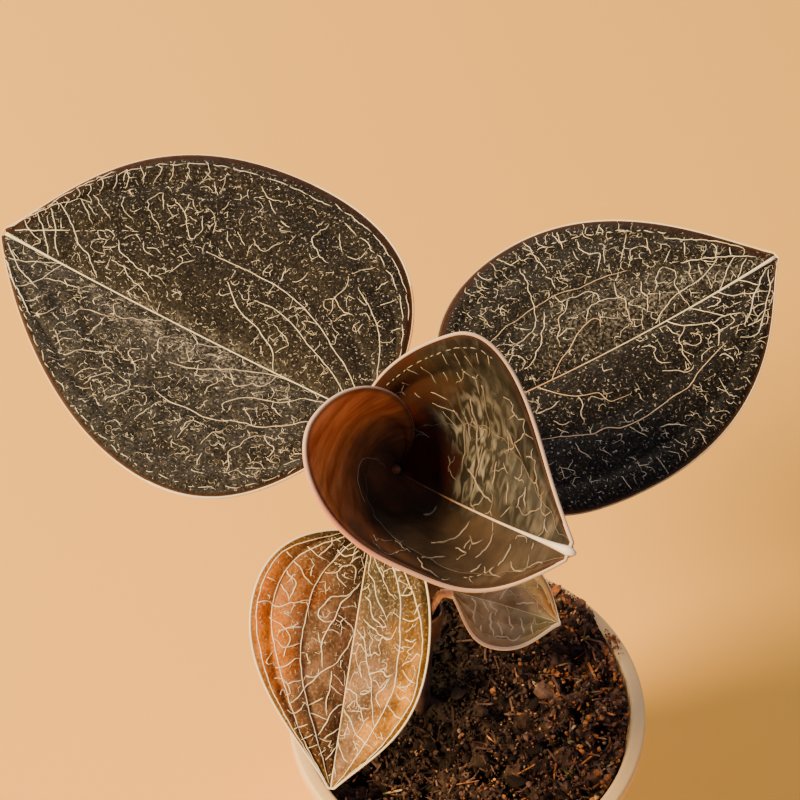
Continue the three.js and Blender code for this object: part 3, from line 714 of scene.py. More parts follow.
def stalk_and_sheath(leaf):
    """The leaf stalk and the sheath that clasps the stem."""
    low, high = leaf["sheath"]
    inside = stem_points[(stem_points[:, 2] >= low) & (stem_points[:, 2] <= high)][::2]
    outer = (STEM_R + GAP + SHEATH_WALL) * (0.88 + 0.2 * np.linspace(0, 1, len(inside)) ** 2)
    wrap = rod(leaf["name"] + " sheath", inside, outer, sides=28, capped=False)
    wall = wrap.modifiers.new("wall", "SOLIDIFY")
    wall.thickness, wall.offset = SHEATH_SKIN * MM, -1
    bpy.ops.object.modifier_apply(modifier=wall.name)
    wrap.data.materials.append(petiole_flesh)
    if not leaf["stalk"]:
        return [wrap]
    root = stem_points[stem_points[:, 2] >= (low + high) / 2][0]
    under = leaf["form"](leaf["length"] * np.array([0.03, 0.16]) ** 1.15, np.zeros(2)) - 0.75 * leaf["above"]
    line = smooth_line([root, *leaf["stalk"], *under], 40)
    along = np.linspace(0, 1, len(line))
    radii = leaf["stalk_r"] * (1.15 - 0.35 * np.sin(pi * along)) * np.clip((1.04 - along) * 6, 0.35, 1)
    stalk = rod(leaf["name"] + " stalk", line, radii, sides=18)
    stalk.data.materials.append(leaf["flesh"])
    return [wrap, stalk]


def joined(piece, parts):
    """Joins the parts to the piece as one mesh."""
    only(*parts, piece)
    bpy.ops.object.join()
    return piece


def threads(name, runs, material):
    """Slim ridges along runs of points on a face: each run is its points, normals, radii, tone and
    the number of its sides. A ridge is sunk to its middle in the blade."""
    corners, faces, tones, count = [], [], [], 0
    for points, n, radii, tone, sides in runs:
        ahead = np.gradient(points, axis=0)
        ahead /= np.linalg.norm(ahead, axis=1)[:, None] + 1e-12
        aside = np.cross(ahead, n)
        aside /= np.linalg.norm(aside, axis=1)[:, None] + 1e-12
        turn = np.arange(sides) / sides * 2 * pi + (pi / 2 if sides % 2 else 0)
        ring = np.cos(turn)[None, :, None] * aside[:, None, :] + np.sin(turn)[None, :, None] * n[:, None, :]
        corners.append((points[:, None, :] + radii[:, None, None] * ring).reshape(-1, 3))
        steps = len(points)
        start = count + np.arange(steps - 1)[:, None] * sides
        first, after = start + np.arange(sides), start + (np.arange(sides) + 1) % sides
        faces.extend(np.stack([first, after, after + sides, first + sides], axis=2).reshape(-1, 4).tolist())
        end = count + (steps - 1) * sides
        faces += [list(range(count + sides - 1, count - 1, -1)), list(range(end, end + sides))]
        tones.append(np.repeat(tone, sides) if np.ndim(tone) else np.full(steps * sides, tone))
        count += steps * sides
    made = toned_piece(name, corners, faces, tones)
    face_out(made)
    bpy.ops.object.shade_smooth()
    made.data.materials.append(material)
    return made


def wander(x, y, amount, seed):
    """Moves flat points by a smooth field, so that veins wriggle and still meet."""
    draw = np.random.default_rng(seed)
    dx, dy = np.zeros(len(x)), np.zeros(len(x))
    for wave, high in [(3.6, 0.34), (1.9, 0.24), (1.15, 0.13)]:
        for _ in range(3):
            a, b, c = draw.uniform(0, 2 * pi, 3)
            k = 2 * pi / wave
            dx += high * np.sin(k * (x * cos(a) + y * sin(a)) + b)
            dy += high * np.sin(k * (x * cos(a + 1.3) + y * sin(a + 1.3)) + c)
    return x + amount * dx, y + amount * dy


def patchy(x, y, wave, seed):
    """A smooth patchy field from 0 to 1 over the flat leaf."""
    draw = np.random.default_rng(seed)
    total = np.zeros(len(x))
    for _ in range(7):
        a, b = draw.uniform(0, 2 * pi, 2)
        k = 2 * pi / (wave * draw.uniform(0.6, 1.5))
        total += np.sin(k * (x * cos(a) + y * sin(a)) + b)
    return np.clip(0.5 + total / 6, 0, 1)


def vein_run(leaf, x, y, radii, tone, sides=4, q=None, t=None):
    """One vein through flat points, as a run for threads()."""
    if q is None:
        q, t = leaf_shares(leaf, x, y)
    points, n = on_face(leaf, x, y, q, t)
    return points, n, radii, tone, sides


def long_vein(leaf, q, t, radii, tone, sides=4, jitter=0.0, seed=1):
    """A vein through leaf shares q, t."""
    x, y = flat_point(leaf, np.broadcast_to(q, t.shape), t)
    if jitter:
        x, y = wander(x, y, jitter, seed)
    return vein_run(leaf, x, y, np.broadcast_to(radii, t.shape), tone, sides)


def margin_bead(leaf, radius, first=0.04, tone=None, thin=None, sink=0.05):
    """The pale rounded edge of the leaf, once round from base to tip to base."""
    t = np.linspace(first, LAST_T, 150)
    q, t = np.concatenate([np.ones(150), -np.ones(150)]), np.concatenate([t, t[::-1]])
    x, y = flat_point(leaf, q, t)
    n = normals_of(leaf, x, y)
    radii = radius * (thin(q, t) if thin else np.ones(len(t)))
    return leaf["form"](x, y) - n * sink, n, radii, tone(q, t) if tone else 0.0, 8


def drawn_runs(leaf, strokes, radius, seed, tone, jitter):
    """Drawn veins, listed one by one: each is a row of leaf shares q,t, and a bar parts it from the next. They
    wriggle a little and thin out towards their ends."""
    draw = np.random.default_rng(seed)
    runs = []
    for stroke in strokes.split("|"):
        marks = np.array([[float(n) for n in mark.split(",")] for mark in stroke.split()])
        x, y = flat_point(leaf, marks[:, 0], np.clip(marks[:, 1], 0.005, 0.99))
        steps = max(4, int(np.hypot(np.diff(x), np.diff(y)).sum() / 0.5) + 2)
        line = smooth_line(np.column_stack([x, y, 0 * x]), steps)
        x, y = wander(line[:, 0], line[:, 1], jitter, seed)
        leaf.setdefault("taken", []).append(np.column_stack([x, y]))
        along = np.linspace(0, 1, steps)
        fade = np.clip(0.6 + 4 * along, 0, 1) * np.clip(0.5 + 3 * (1 - along), 0, 1)
        beat = 1 + 0.14 * np.sin(along * steps * 0.9 + 6 * draw.random())
        radii = radius * draw.uniform(0.85, 1.15) * fade * beat
        runs.append(vein_run(leaf, x, y, radii, draw.uniform(*tone)))
    return runs


def rungs(first, last, count, *marks):
    """Strokes for drawn_runs(), side by side from t = first to last. A mark is its q and step in t."""
    return " | ".join(" ".join(f"{q},{at + step:.3f}" for q, step in marks)
                      for at in np.linspace(first, last, count))


def dashed_runs(leaf, q, span, dash, gap, radius, seed, tone, jitter=0.25):
    """A long vein at share q that shows as dashes from one t to another."""
    draw = np.random.default_rng(seed)
    t_all = np.linspace(*span, 500)
    x, y = flat_point(leaf, np.full(500, q), t_all)
    along = np.concatenate([[0], np.cumsum(np.hypot(np.diff(x), np.diff(y)))])
    runs, at = [], 0.0
    while at < along[-1]:
        stop = min(at + draw.uniform(*dash), along[-1])
        if stop - at > 0.15:
            steps = max(4, int((stop - at) / 0.8) + 2)
            t = np.interp(np.linspace(at, stop, steps), along, t_all)
            taper = np.ones(steps)
            taper[[0, -1]] = 0.5
            runs.append(long_vein(leaf, q, t, radius * taper, tone, 4, jitter, seed))
        at = stop + draw.uniform(*gap)
    return runs


def clear_of(leaf, x, y, reach):
    """Whether flat points keep clear of the veins that are drawn."""
    taken = np.vstack(leaf["taken"])
    return np.array([np.hypot(taken[:, 0] - a, taken[:, 1] - b).min() > reach for a, b in zip(x, y)])


def net(leaf, spacing, seed):
    """A net of cells over the flat leaf: its joints, the links between them, and a number at each
    joint. The cells are those of jittered seeds, as in a leaf where each cell fills its room."""
    draw = np.random.default_rng(seed)
    length = leaf["length"]
    wide = max(leaf["left"][0], leaf["right"][0])
    seeds = []
    for k, y in enumerate(np.arange(-wide - 3, wide + 3, spacing * 0.87)):
        for x in np.arange(-0.25 * length, 1.05 * length, spacing):
            seeds.append(Vector((x + (k % 2) * spacing / 2 + draw.uniform(-0.36, 0.36) * spacing,
                                 y + draw.uniform(-0.36, 0.36) * spacing)))
    found = delaunay_2d_cdt(seeds, [], [], 0, 1e-6)
    corners = np.array([list(v) for v in found[0]])
    cells = np.array([f for f in found[2] if len(f) == 3])
    a, b, c = corners[cells[:, 0]], corners[cells[:, 1]], corners[cells[:, 2]]
    d = 2 * (a[:, 0] * (b - c)[:, 1] + b[:, 0] * (c - a)[:, 1] + c[:, 0] * (a - b)[:, 1])
    sq = [(p ** 2).sum(axis=1) for p in (a, b, c)]
    jx = (sq[0] * (b - c)[:, 1] + sq[1] * (c - a)[:, 1] + sq[2] * (a - b)[:, 1]) / d
    jy = (sq[0] * (c - b)[:, 0] + sq[1] * (a - c)[:, 0] + sq[2] * (b - a)[:, 0]) / d
    meets = {}
    for k, cell in enumerate(cells):
        for i in range(3):
            meets.setdefault(tuple(sorted((cell[i], cell[(i + 1) % 3]))), []).append(k)
    links = np.array([pair for pair in meets.values() if len(pair) == 2])
    return jx, jy, links, draw.random(len(jx)), draw


def net_runs(leaf, spacing, seen, radius, seed, stub, tone, wriggle=0.9, reach=0.9, clear=0.6):
    """Short strokes that leave some joints of the net. seen(q, t, x, y) is how many show at a place,
    and stub how much of each link does."""
    jx, jy, links, strong, draw = net(leaf, spacing, seed)
    q, t = leaf_shares(leaf, jx, jy)
    good = (np.abs(q) < reach) & (t > 0.03) & (t < LAST_T) & (strong < seen(q, t, jx, jy))
    good &= clear_of(leaf, jx, jy, clear)
    runs = []
    for i, j in links:
        far = np.hypot(jx[i] - jx[j], jy[i] - jy[j])
        for a, b in ((i, j), (j, i)):
            long, loud = max(draw.uniform(*stub) * far, 0.35), draw.uniform(0.7, 1.2)
            colour = draw.uniform(*tone)
            if not good[a] or far > 3.2 * spacing or far < 0.3:
                continue
            steps = max(3, int(long / 0.4) + 2)
            s = np.linspace(0, min(long / far, 1), steps)
            x, y = wander(jx[a] + (jx[b] - jx[a]) * s, jy[a] + (jy[b] - jy[a]) * s, wriggle, seed + 90)
            share, row = leaf_shares(leaf, x, y)
            if np.abs(share).max() > reach or row.max() > LAST_T or y.min() * y.max() < 0:
                continue
            fade = radius * loud * np.linspace(1.1, 0.55, steps)
            runs.append(vein_run(leaf, x, y, fade, colour, 4, share, row))
    return runs


def curl_runs(leaf, count, radius, seen, seed, tone, size=0.0, bubble=0.0, along=0.0, clear=0.3):
    """Short loose curls that join nothing: flecks of a size, or arcs round little domes of a radius.
    Some of them may run along the leaf."""
    reach = 0.93
    draw = np.random.default_rng(seed)
    q, t = draw.uniform(-reach, reach, count), draw.uniform(0.04, 0.97, count)
    x0, y0 = flat_point(leaf, q, t)
    wide = np.abs(flat_point(leaf, np.sign(q), t)[1])
    keep = (draw.random(count) < seen(q, t, x0, y0)) & (draw.random(count) < wide / wide.max())
    heading = np.where(draw.random(count) < along, draw.normal(0, 0.3, count), draw.uniform(0, 2 * pi, count))
    bend = draw.normal(0, 0.9, count)
    long = size * draw.uniform(0.4, 1.5, count)
    if bubble:
        bend = draw.choice([-1, 1], count) * draw.uniform(0.7, 2.7, count)
        long = 2 * np.abs(bend) * bubble * draw.uniform(0.75, 1.25, count)
    loud, colour = draw.uniform(0.7, 1.25, count), draw.uniform(*tone, count)
    picked = np.flatnonzero(keep)
    picked = picked[clear_of(leaf, x0[picked], y0[picked], clear)]
    steps = 9 if bubble else 5
    angle = heading[picked, None] + bend[picked, None] * np.linspace(-1, 1, steps)
    x = (x0[picked, None] + np.cumsum(np.cos(angle), axis=1) * long[picked, None] / steps).ravel()
    y = (y0[picked, None] + np.cumsum(np.sin(angle), axis=1) * long[picked, None] / steps).ravel()
    share, row = leaf_shares(leaf, x, y)
    points, n = on_face(leaf, x, y, share, row)
    taper = np.clip(np.minimum(np.linspace(0.4, 4, steps), np.linspace(4, 0.4, steps)), 0, 1)
    runs = []
    for k, one in enumerate(picked):
        part = slice(steps * k, steps * (k + 1))
        if np.abs(share[part]).max() < reach and y[part].min() * y[part].max() > 0:
            runs.append((points[part], n[part], radius * loud[one] * taper, colour[one], 3))
    return runs


def leaf_inputs(add):
    """The flat leaf's map, and the shares q and t and the inset in mm that blade() wrote."""
    shares = add("Attribute", attribute_name="leaf", out="Vector")
    return add("UVMap"), *add("SeparateXYZ", shares).node.outputs


def vein_skin(name, plain, warm, dull):
    # Veins of thin pale tissue with little green under it: cream-gold, more orange where the tone is
    # over 0 and dull where it is under 0, with a soft wet gloss. The dull colour is the veil of the skin on
    # veins, and painted shade on some leaf edges.
    material, add = blank_material(name)
    drift = add("TexNoise", add("TexCoord", out="Object"), 1000 / 2.5, 2)
    spread = add("MapRange", drift, 0.3, 0.7, -0.12, 0.12)
    tone = add("Math", add("Attribute", attribute_name="tone", out="Fac"), spread, operation="ADD")
    bright = add("Mix", add("MapRange", tone), plain, warm)
    add("OutputMaterial", add(
        "BsdfPrincipled", Base_Color=add("Mix", add("MapRange", tone, 0, -1), bright, dull), Roughness=0.45,
        IOR=1.42, Subsurface_Weight=0.15, Subsurface_Radius=(1.0, 0.7, 0.4), Subsurface_Scale=0.0004,
    ))
    return material


def velvet_leaf(name, near, deep, brown, grey, sheen_tone, reach, span):
    # The upper skin of a dark jewel orchid leaf: a velvet of tiny domed cells over small pebbles. It
    # gives a gritty near-black brown with a painted grey sheen in patches on the half where q is over 0, a
    # pale painted sheen beside the midrib, broken hair-fine lines, and a dark brown band with an amber line
    # inside the edge.
    material, add = blank_material(name)
    flat, q, t, inset = leaf_inputs(add)
    broad, patch, grain, painted_lighting_patches, wavy, broken = [      # each by its size in mm and its detail
        add("TexNoise", flat, FLAT_MM / size, detail)
        for size, detail in [(10, 4), (3.5, 4), (0.42, 3), (0.55, 4), (1.2, 1), (0.6, 1)]
    ]
    side = add("MapRange", q, -0.08, 0.12)
    # painted sheen: grey patches on the half where q is over 0
    sheen_patches = add("MapRange", patch, 0.38, 0.62, 0.15, 0.8)
    beside = add("Math", add("MapRange", q, reach, 0.1 * reach), side)
    middle = add("Math", add("MapRange", t, span[0], span[1]), add("MapRange", t, span[3], span[2]))
    # painted sheen: pale speckled patches beside the midrib, over the span in t
    sheen_beside_midrib = add("Math", add("MapRange", painted_lighting_patches, 0.46, 0.62), add("Math", beside, middle))
    folded = add("Math", add("Math", wavy, 11.0), 1.0, operation="PINGPONG")
    hair = add("Math", add("MapRange", folded, 0.22, 0.08), add("MapRange", broken, 0.56, 0.61, 0, 0.8))
    width = add("MapRange", q, -0.1 * near, 0.1 * near, 1.3, 0.6)
    inside = add("Math", width, inset, operation="SUBTRACT")
    colour = add("Mix", add("MapRange", broad, 0.35, 0.65), deep, brown)
    for mask, over in [
        (add("Math", sheen_patches, side), grey),
        (add("MapRange", grain, 0.52, 0.66, 0, 0.5), "#4e4534"),       # grit
        (add("MapRange", grain, 0.5, 0.36, 0, 0.85), "#070503"),       # pits
        (add("Math", sheen_beside_midrib, sheen_patches), sheen_tone),
        (hair, "#b9b0a2"),
        (add("MapRange", inside, -0.12, 0.15, 0, 0.9), "#311a0b"),     # the band
        (add("MapRange", inset, 0.5, 0.2, 0, 0.55), "#6b4a2a"),        # the amber line
    ]:
        colour = add("Mix", mask, colour, over)
    pebbled = add("Bump", Height=add("TexVoronoi", flat, FLAT_MM / 1.35), Distance=-0.2 * MM, Strength=0.7)
    add("OutputMaterial", add(
        "BsdfPrincipled", Base_Color=colour, Roughness=add("MapRange", patch, 0.3, 0.7, 0.7, 0.5), IOR=1.42,
        Specular_IOR_Level=0.2,
        Normal=add("Bump", Height=grain, Distance=0.09 * MM, Strength=0.8, Normal=pebbled),
    ))
    return material


def under_skin(name, plain, mottle):
    # The underside: smooth and a little waxy, wine-brown to pink in soft clouds over tiny cells.
    material, add = blank_material(name)
    flat = add("UVMap")
    tone = add("MapRange", add("TexNoise", flat, FLAT_MM / 7, 4), 0.35, 0.65)
    fine = add("TexVoronoi", flat, FLAT_MM / 1.1)
    add("OutputMaterial", add(
        "BsdfPrincipled", Base_Color=add("Mix", tone, plain, mottle), Roughness=0.5, IOR=1.42,
        Subsurface_Weight=0.1, Subsurface_Radius=(1.0, 0.4, 0.3), Subsurface_Scale=0.0006,
        Normal=add("Bump", Height=fine, Distance=0.08 * MM, Strength=0.6),
    ))
    return material


dark_under = under_skin("wine_underside", "#5b3431", "#7d5249")
pale_edge = vein_skin("pale_leaf_edge", "#fbe4bf", "#e29a62", "#6a3f22")
cream_vein = vein_skin("cream_gold_vein", "#fff2d0", "#cf8c48", "#6b604e")
# petiole_flesh is darkened as painted shade, for the shade the stalks and sheaths stand in
petiole_flesh = fleshy_skin("petiole_flesh", "#423029", "#624a40", "#34221c")

leaf = leaf_large_left
# the grey and the last of the colours are painted sheen
left_skin = velvet_leaf(
    "dark_velvet_left", 1, "#14100b", "#272118", "#403e38", "#b8ae9e", 0.3, (0.16, 0.34, 0.6, 0.85),
)
leaf.update(form=open_form(leaf), skins=[left_skin, dark_under, pale_edge], flesh=petiole_flesh)
piece = joined(blade(leaf, 150, 175), stalk_and_sheath(leaf))
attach(piece, "root")
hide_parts(leaf["name"])

# long smooth veins from the base, then the short bright ones of the tip, the far and the near half
LEFT_LONG = """
    -.41,.57 -.4,.5 -.4,.42 -.38,.35 -.34,.28 -.31,.24 -.28,.18 -.2,.1 -.05,.03 | -.28,.45 -.29,.405
    -.275,.35 -.23,.29 -.18,.19 -.1,.12 0,.03 | -.67,.297 -.65,.22 -.62,.165 -.5,.1 -.3,.05 | -.3,.515
    -.245,.492 -.195,.461 -.16,.402 -.14,.384 -.094,.343 0,.31 | .49,.54 .5,.517 .5,.495 .49,.457 .5,.43
    .49,.4 .46,.365 .455,.336 .46,.3 .43,.257 .38,.205 .2,.1 | 0,.25 .02,.3 .067,.348 .115,.394 .19,.4525
    .235,.481 .267,.52 .28,.54 | .05,.14 .1,.1885 .125,.217 .2,.247 .238,.276 .258,.322 .267,.341 .313,.371
    .377,.398 .41,.392 .43,.395
"""
LEFT_TIP = """
    -.97,.97 -.92,.9 -.86,.85 -.815,.81 | -.6,.96 -.5,.9 -.47,.86 -.46,.83 | .6,.96 .69,.92 .67,.892
    .63,.867 .585,.84 | .95,.93 .93,.885 .9,.866 .87,.838 .87,.812 | 0,.852 .2,.878 .38,.896 .62,.915
    .85,.93 | 0,.848 .375,.85 .66,.859 .9,.873 | -.89,.933 -.7,.93 -.38,.912 -.26,.9 -.03,.922 | -.91,.9
    -.76,.897 -.55,.892 -.37,.888 -.18,.882 -.03,.883 | -.85,.871 -.71,.867 -.57,.863 -.29,.863 -.08,.857 |
    -.86,.85 -.64,.835 -.54,.827 -.28,.806 -.21,.787 -.125,.775 -.04,.763
"""
LEFT_FAR = """
    -.81,.808 -.67,.8 -.5,.784 | -.73,.797 -.58,.775 | -.81,.788 -.72,.775 -.62,.761 -.54,.751 | -.725,.735
    -.64,.73 -.53,.71 | -.94,.7325 -.84,.735 | -.88,.703 -.83,.705 | -.71,.663 -.72,.672 -.67,.69 | -.67,.69
    -.53,.669 -.47,.6525 | -.71,.663 -.6,.66 | -.6,.625 -.67,.62 | -.34,.579 -.31,.598 -.235,.617 |
    -.69,.649 -.6,.625 -.525,.613 -.46,.6 -.5,.592 -.555,.592 -.6,.597 | -.35,.607 -.31,.598 | -.38,.73
    -.31,.72 -.265,.714 -.23,.69 -.185,.66 -.16,.64 | -.385,.68 -.32,.67 -.3,.655 | -.34,.668 -.35,.655
    -.33,.645 | -.21,.735 -.185,.71 -.13,.69 -.09,.66 -.045,.635 | -.1,.34 -.17,.32 -.21,.354 -.23,.383 |
    -.83,.405 -.79,.39 -.75,.378 | -.75,.36 -.77,.345 -.83,.34 -.86,.34 | -.7,.33 -.76,.32 -.84,.3 |
    -.75,.265 -.8,.265 -.86,.26 | -.74,.235 -.78,.23 -.84,.215 | -.74,.165 -.79,.165 -.87,.155 | -.65,.38
    -.66,.405 -.68,.42 -.73,.44 -.8,.435 -.84,.43 | -.68,.33 -.62,.32 -.53,.32 -.49,.315 -.45,.305 |
    -.53,.32 -.51,.295 -.51,.28 -.54,.26 | -.47,.415 -.5,.4 -.54,.405 | -.43,.43 -.46,.44 -.5,.44 | -.42,.47
    -.45,.47 -.49,.47 | -.55,.555 -.52,.55 -.48,.535 | -.57,.54 -.51,.525 | -.59,.575 -.52,.57 | -.57,.52
    -.53,.5 -.57,.49 -.63,.475 | -.87,.545 -.82,.53 -.83,.515 | -.81,.53 -.74,.515 | -.8,.6 -.74,.585 |
    -.72,.57 -.66,.575 | -.86,.64 -.82,.63 | -.5,.72 -.44,.7 | -.45,.755 -.42,.74 -.36,.74
"""
LEFT_NEAR = """
    .375,.85 .31,.829 .235,.804 .17,.779 .02,.755 | .86,.84 .65,.822 .55,.82 | .82,.805 .6,.79 .5,.785 |
    .515,.76 .375,.75 .305,.733 .256,.697 .2,.685 | .26,.697 .425,.7025 .5,.71 | 0,.59 .05,.6 .066,.617
    .126,.64 .158,.658 .19,.68 | 0,.44 .03,.473 .09,.507 .12,.507 .17,.515 | .02,.3 .1,.309 .153,.33
    .168,.35 .21,.368 .23,.384 .21,.392 .165,.402 | .238,.283 .29,.283 .32,.271 .35,.25 | .81,.338 .77,.337
    .69,.346 .65,.333 .6,.32 .55,.3 .52,.272 | .52,.272 .56,.271 .605,.252 .66,.238 .72,.252 | .54,.377
    .606,.402 .67,.417 | .54,.447 .58,.46 .64,.47 | .73,.405 .8,.41 | .22,.434 .24,.424 .305,.439 .36,.448 |
    .85,.415 .85,.38 | .79,.296 .8,.258 | .82,.205 .8,.17 | .775,.72 .715,.712 .63,.696 .55,.68 .48,.6575
    .43,.643 | .77,.742 .695,.737 .6,.721 | .8,.683 .71,.674 .62,.65 | .785,.658 .68,.65 .62,.639 .58,.626 |
    .755,.615 .65,.596 .555,.575 | .73,.557 .6,.535 | .69,.468 .56,.45 | .2,.685 .13,.7 .06,.69 | .12,.8
    .2,.815 .27,.8 | .1,.73 .18,.74 .22,.73 | .1,.56 .16,.58 .24,.57 | .3,.6 .36,.62 .4,.61
"""
LEFT_RUNGS = rungs(0.62, 0.93, 15, (-0.94, 0), (-0.87, -0.006), (-0.8, -0.002))


def left_net(q, t, x, y):
    """The fine net shows in patches, more of it on the near half and towards the tip."""
    return np.clip(0.27 + 0.5 * (patchy(x, y, 16, 21) - 0.45) + 0.12 * (t > 0.8) + 0.13 * (q > 0), 0.08, 0.85)


def left_edge_tone(q, t):
    return np.where(q < 0, 0.7 * (t < 0.22), 0.45 * (t > 0.55))


t = np.linspace(0.02, LAST_T, 90)
runs = [
    long_vein(leaf, 0.0, t, 0.125 + 0.3 * t ** 10, 0.5 * (t < 0.12), 6),
    margin_bead(leaf, 0.175, tone=left_edge_tone, thin=lambda q, t: 1 - 0.35 * (t > 0.5)),
]
for strokes, radius, seed, tone, jitter in [
    (LEFT_LONG, 0.08, 71, (0.0, 0.2), 0.07), (LEFT_TIP, 0.085, 72, (0.0, 0.1), 0.12),
    (LEFT_FAR, 0.063, 73, (-0.15, 0.2), 0.25), (LEFT_NEAR, 0.063, 74, (-0.15, 0.2), 0.25),
    (LEFT_RUNGS, 0.06, 79, (-0.2, 0.1), 0.35),
]:
    runs += drawn_runs(leaf, strokes, radius, seed, tone, jitter)
for q, span, dash, gap, radius, seed, tone in [
    (-0.955, (0.75, 0.98), (3.0, 6.0), (0.1, 0.3), 0.09, 30, 0.0),
    (-0.925, (0.45, 0.8), (1.2, 4.5), (0.15, 0.7), 0.07, 31, 0.15),
    (-0.885, (0.06, 0.42), (1.5, 5.0), (0.2, 0.9), 0.07, 32, 0.0),
    (-0.945, (0.16, 0.45), (3.0, 7.0), (0.1, 0.6), 0.07, 33, -0.1),
    (0.945, (0.05, 0.95), (0.5, 2.4), (0.4, 1.6), 0.062, 34, -0.15),
    (-0.45, (0.6, 0.84), (0.3, 1.1), (0.4, 1.4), 0.06, 35, -0.2),
]:
    runs += dashed_runs(leaf, q, span, dash, gap, radius, seed, tone)
runs += net_runs(leaf, 2.3, left_net, 0.055, 51, (0.2, 0.7), (-0.4, 0.15), clear=0.45)
runs += curl_runs(leaf, 3800, 0.043, lambda q, t, x, y: 0.24 + 0.5 * patchy(x, y, 9, 77), 61,
                  (-0.7, 0.2), size=0.7)
runs += curl_runs(leaf, 260, 0.075, lambda q, t, x, y: (np.abs(q) < 0.4) * (np.abs(t - 0.6) < 0.2) * 0.9, 62,
                  (-0.4, 0.1), size=1.4, along=0.8)
runs += curl_runs(leaf, 1000, 0.055, lambda q, t, x, y: (q > 0.02) * 0.75, 63, (-1.0, -0.45),
                  bubble=0.62, clear=0.2)
veins = threads("leaf_large_left_veins", runs, cream_vein)
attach(veins, "root")
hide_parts(leaf["name"])

# ---------------------------------------------------------------- large right leaf
# The second large leaf, the same dark velvet. Its blade arches over, and its margins roll down. Grown
# as one piece with its stalk and sheath.
leaf_large_right = {
    "name": "leaf_large_right", "length": 60, "base": (-3.3, 16.9, 109.2), "yaw": 28.2, "pitch": 8,
    "droop": 0, "sag": 0.035, "rise": (16, -2), "roll": (0.35, 0.35), "stalk_r": 1.2,
    "left": (26.4, 0.455, -0.04, 0.67, 0.2, 0.27, 0.175, 46),
    "right": (22.6, 0.36, 0.07, 0.87, 0.25, 0.44, 0.13, 38.5),
    "sheath": (86.4, 92.5), "stalk": [(-5.6, 11.9, 94.6), (-4.3, 14.4, 102)],
}
leaf = leaf_large_right
# the grey and the last of the colours are painted sheen
right_skin = velvet_leaf(
    "dark_velvet_right", -1, "#0f0c08", "#18140e", "#25231e", "#878175", 0.6, (0.3, 0.5, 0.85, 1.0),
)
leaf.update(form=open_form(leaf), skins=[right_skin, dark_under, pale_edge], flesh=petiole_flesh)
piece = joined(blade(leaf, 135, 160), stalk_and_sheath(leaf))
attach(piece, "root")
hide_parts(leaf["name"])

# the same four sets of strokes as on the left leaf
RIGHT_LONG = """
    .49,.65 .485,.6 .475,.565 .47,.53 .49,.5 .49,.4 .49,.28 .4,.12 | -.57,.72 -.56,.7 -.55,.64 -.58,.61
    -.56,.57 -.57,.54 -.57,.51 -.56,.48 -.52,.45 -.51,.415 -.48,.38 -.45,.34 -.43,.28 | 0,.345 .09,.3975
    .134,.439 .185,.472 .22,.505 .225,.526 .2,.535 .16,.53 | 0,.3 -.085,.333 -.13,.352 -.175,.375 -.22,.402
    -.235,.4235 -.26,.455 -.3,.463 -.355,.475 -.36,.495 -.375,.52
"""
RIGHT_TIP = """
    .5,.765 .53,.81 .57,.88 .55,.94 | .81,.75 .83,.805 .86,.83 .88,.865 .87,.9 .8,.915 .6,.91 | -.65,.775
    -.65,.81 -.58,.85 -.56,.885 -.5,.91 -.45,.945 | -.6,.94 -.75,.915 -.82,.9 -.87,.88 -.86,.85 -.86,.82
    -.86,.79 -.84,.775 -.75,.757 -.68,.747 | .57,.89 .4,.873 .17,.853 .02,.835 | .5,.915 .36,.905 .03,.885 |
    .83,.885 .6,.88 | .57,.845 .75,.855 .82,.845 | 0,.828 -.245,.829 -.36,.848 -.57,.8625 -.85,.878 |
    -.02,.81 -.18,.805 -.2,.785 -.15,.77 | -.01,.885 -.15,.882 -.35,.886 -.56,.885 | -.65,.82 -.77,.84
    -.85,.845 | -.7,.78 -.85,.81 | .02,.655 .09,.686 .135,.71 .18,.7365 .2,.755 .22,.779 .29,.8075 .4,.83
    .53,.848 | .78,.79 .6,.78 | 0,.682 -.1,.69 -.19,.705 -.27,.728 -.345,.75 -.38,.777 -.47,.791 -.56,.7985
    | 0,.75 -.1,.755 -.22,.762 -.33,.77 -.38,.777
"""
RIGHT_FAR = """
    .23,.51 .31,.532 .32,.561 .31,.585 .3,.62 | .43,.5 .42,.515 .43,.543 .41,.555 .37,.56 .32,.561 | .8,.455
    .68,.444 .6,.435 .52,.423 .435,.411 .38,.395 .35,.369 .34,.337 .34,.312 .3,.3 | .43,.436 .37,.42 .31,.4
    .26,.38 .2,.35 .16,.321 .15,.3 | .43,.5 .37,.4845 .34,.461 .3,.446 .23,.425 .17,.416 | .23,.425 .24,.44
    .24,.455 .22,.475 | .43,.5 .44,.48 .5,.485 | .64,.49 .6,.495 .53,.49 | .83,.585 .76,.58 .7,.59 .67,.61
    .6,.6 .54,.59 | .75,.565 .68,.565 .66,.57 | .97,.545 .87,.53 | .95,.56 .85,.555 .8,.555 | .97,.5 .92,.5
    .8,.5 .7,.5 .66,.5 | .72,.625 .58,.61 | .93,.615 .87,.605 | .95,.64 .85,.625 | .83,.68 .68,.66 .56,.64 |
    .8,.715 .7,.71 .6,.71 | .66,.755 .52,.73 | .46,.73 .42,.745 .35,.745 .27,.735 .18,.7365 .08,.745 0,.75 |
    .46,.73 .45,.715 .38,.7 .33,.695 .25,.685 | .5,.785 .43,.785 .35,.775 .25,.775 | .47,.805 .38,.8 .3,.8 |
    .37,.665 .29,.655 .24,.66 .17,.655 .12,.65 | .42,.61 .32,.6 .27,.61 .2,.605 .11,.6 .08,.6
"""
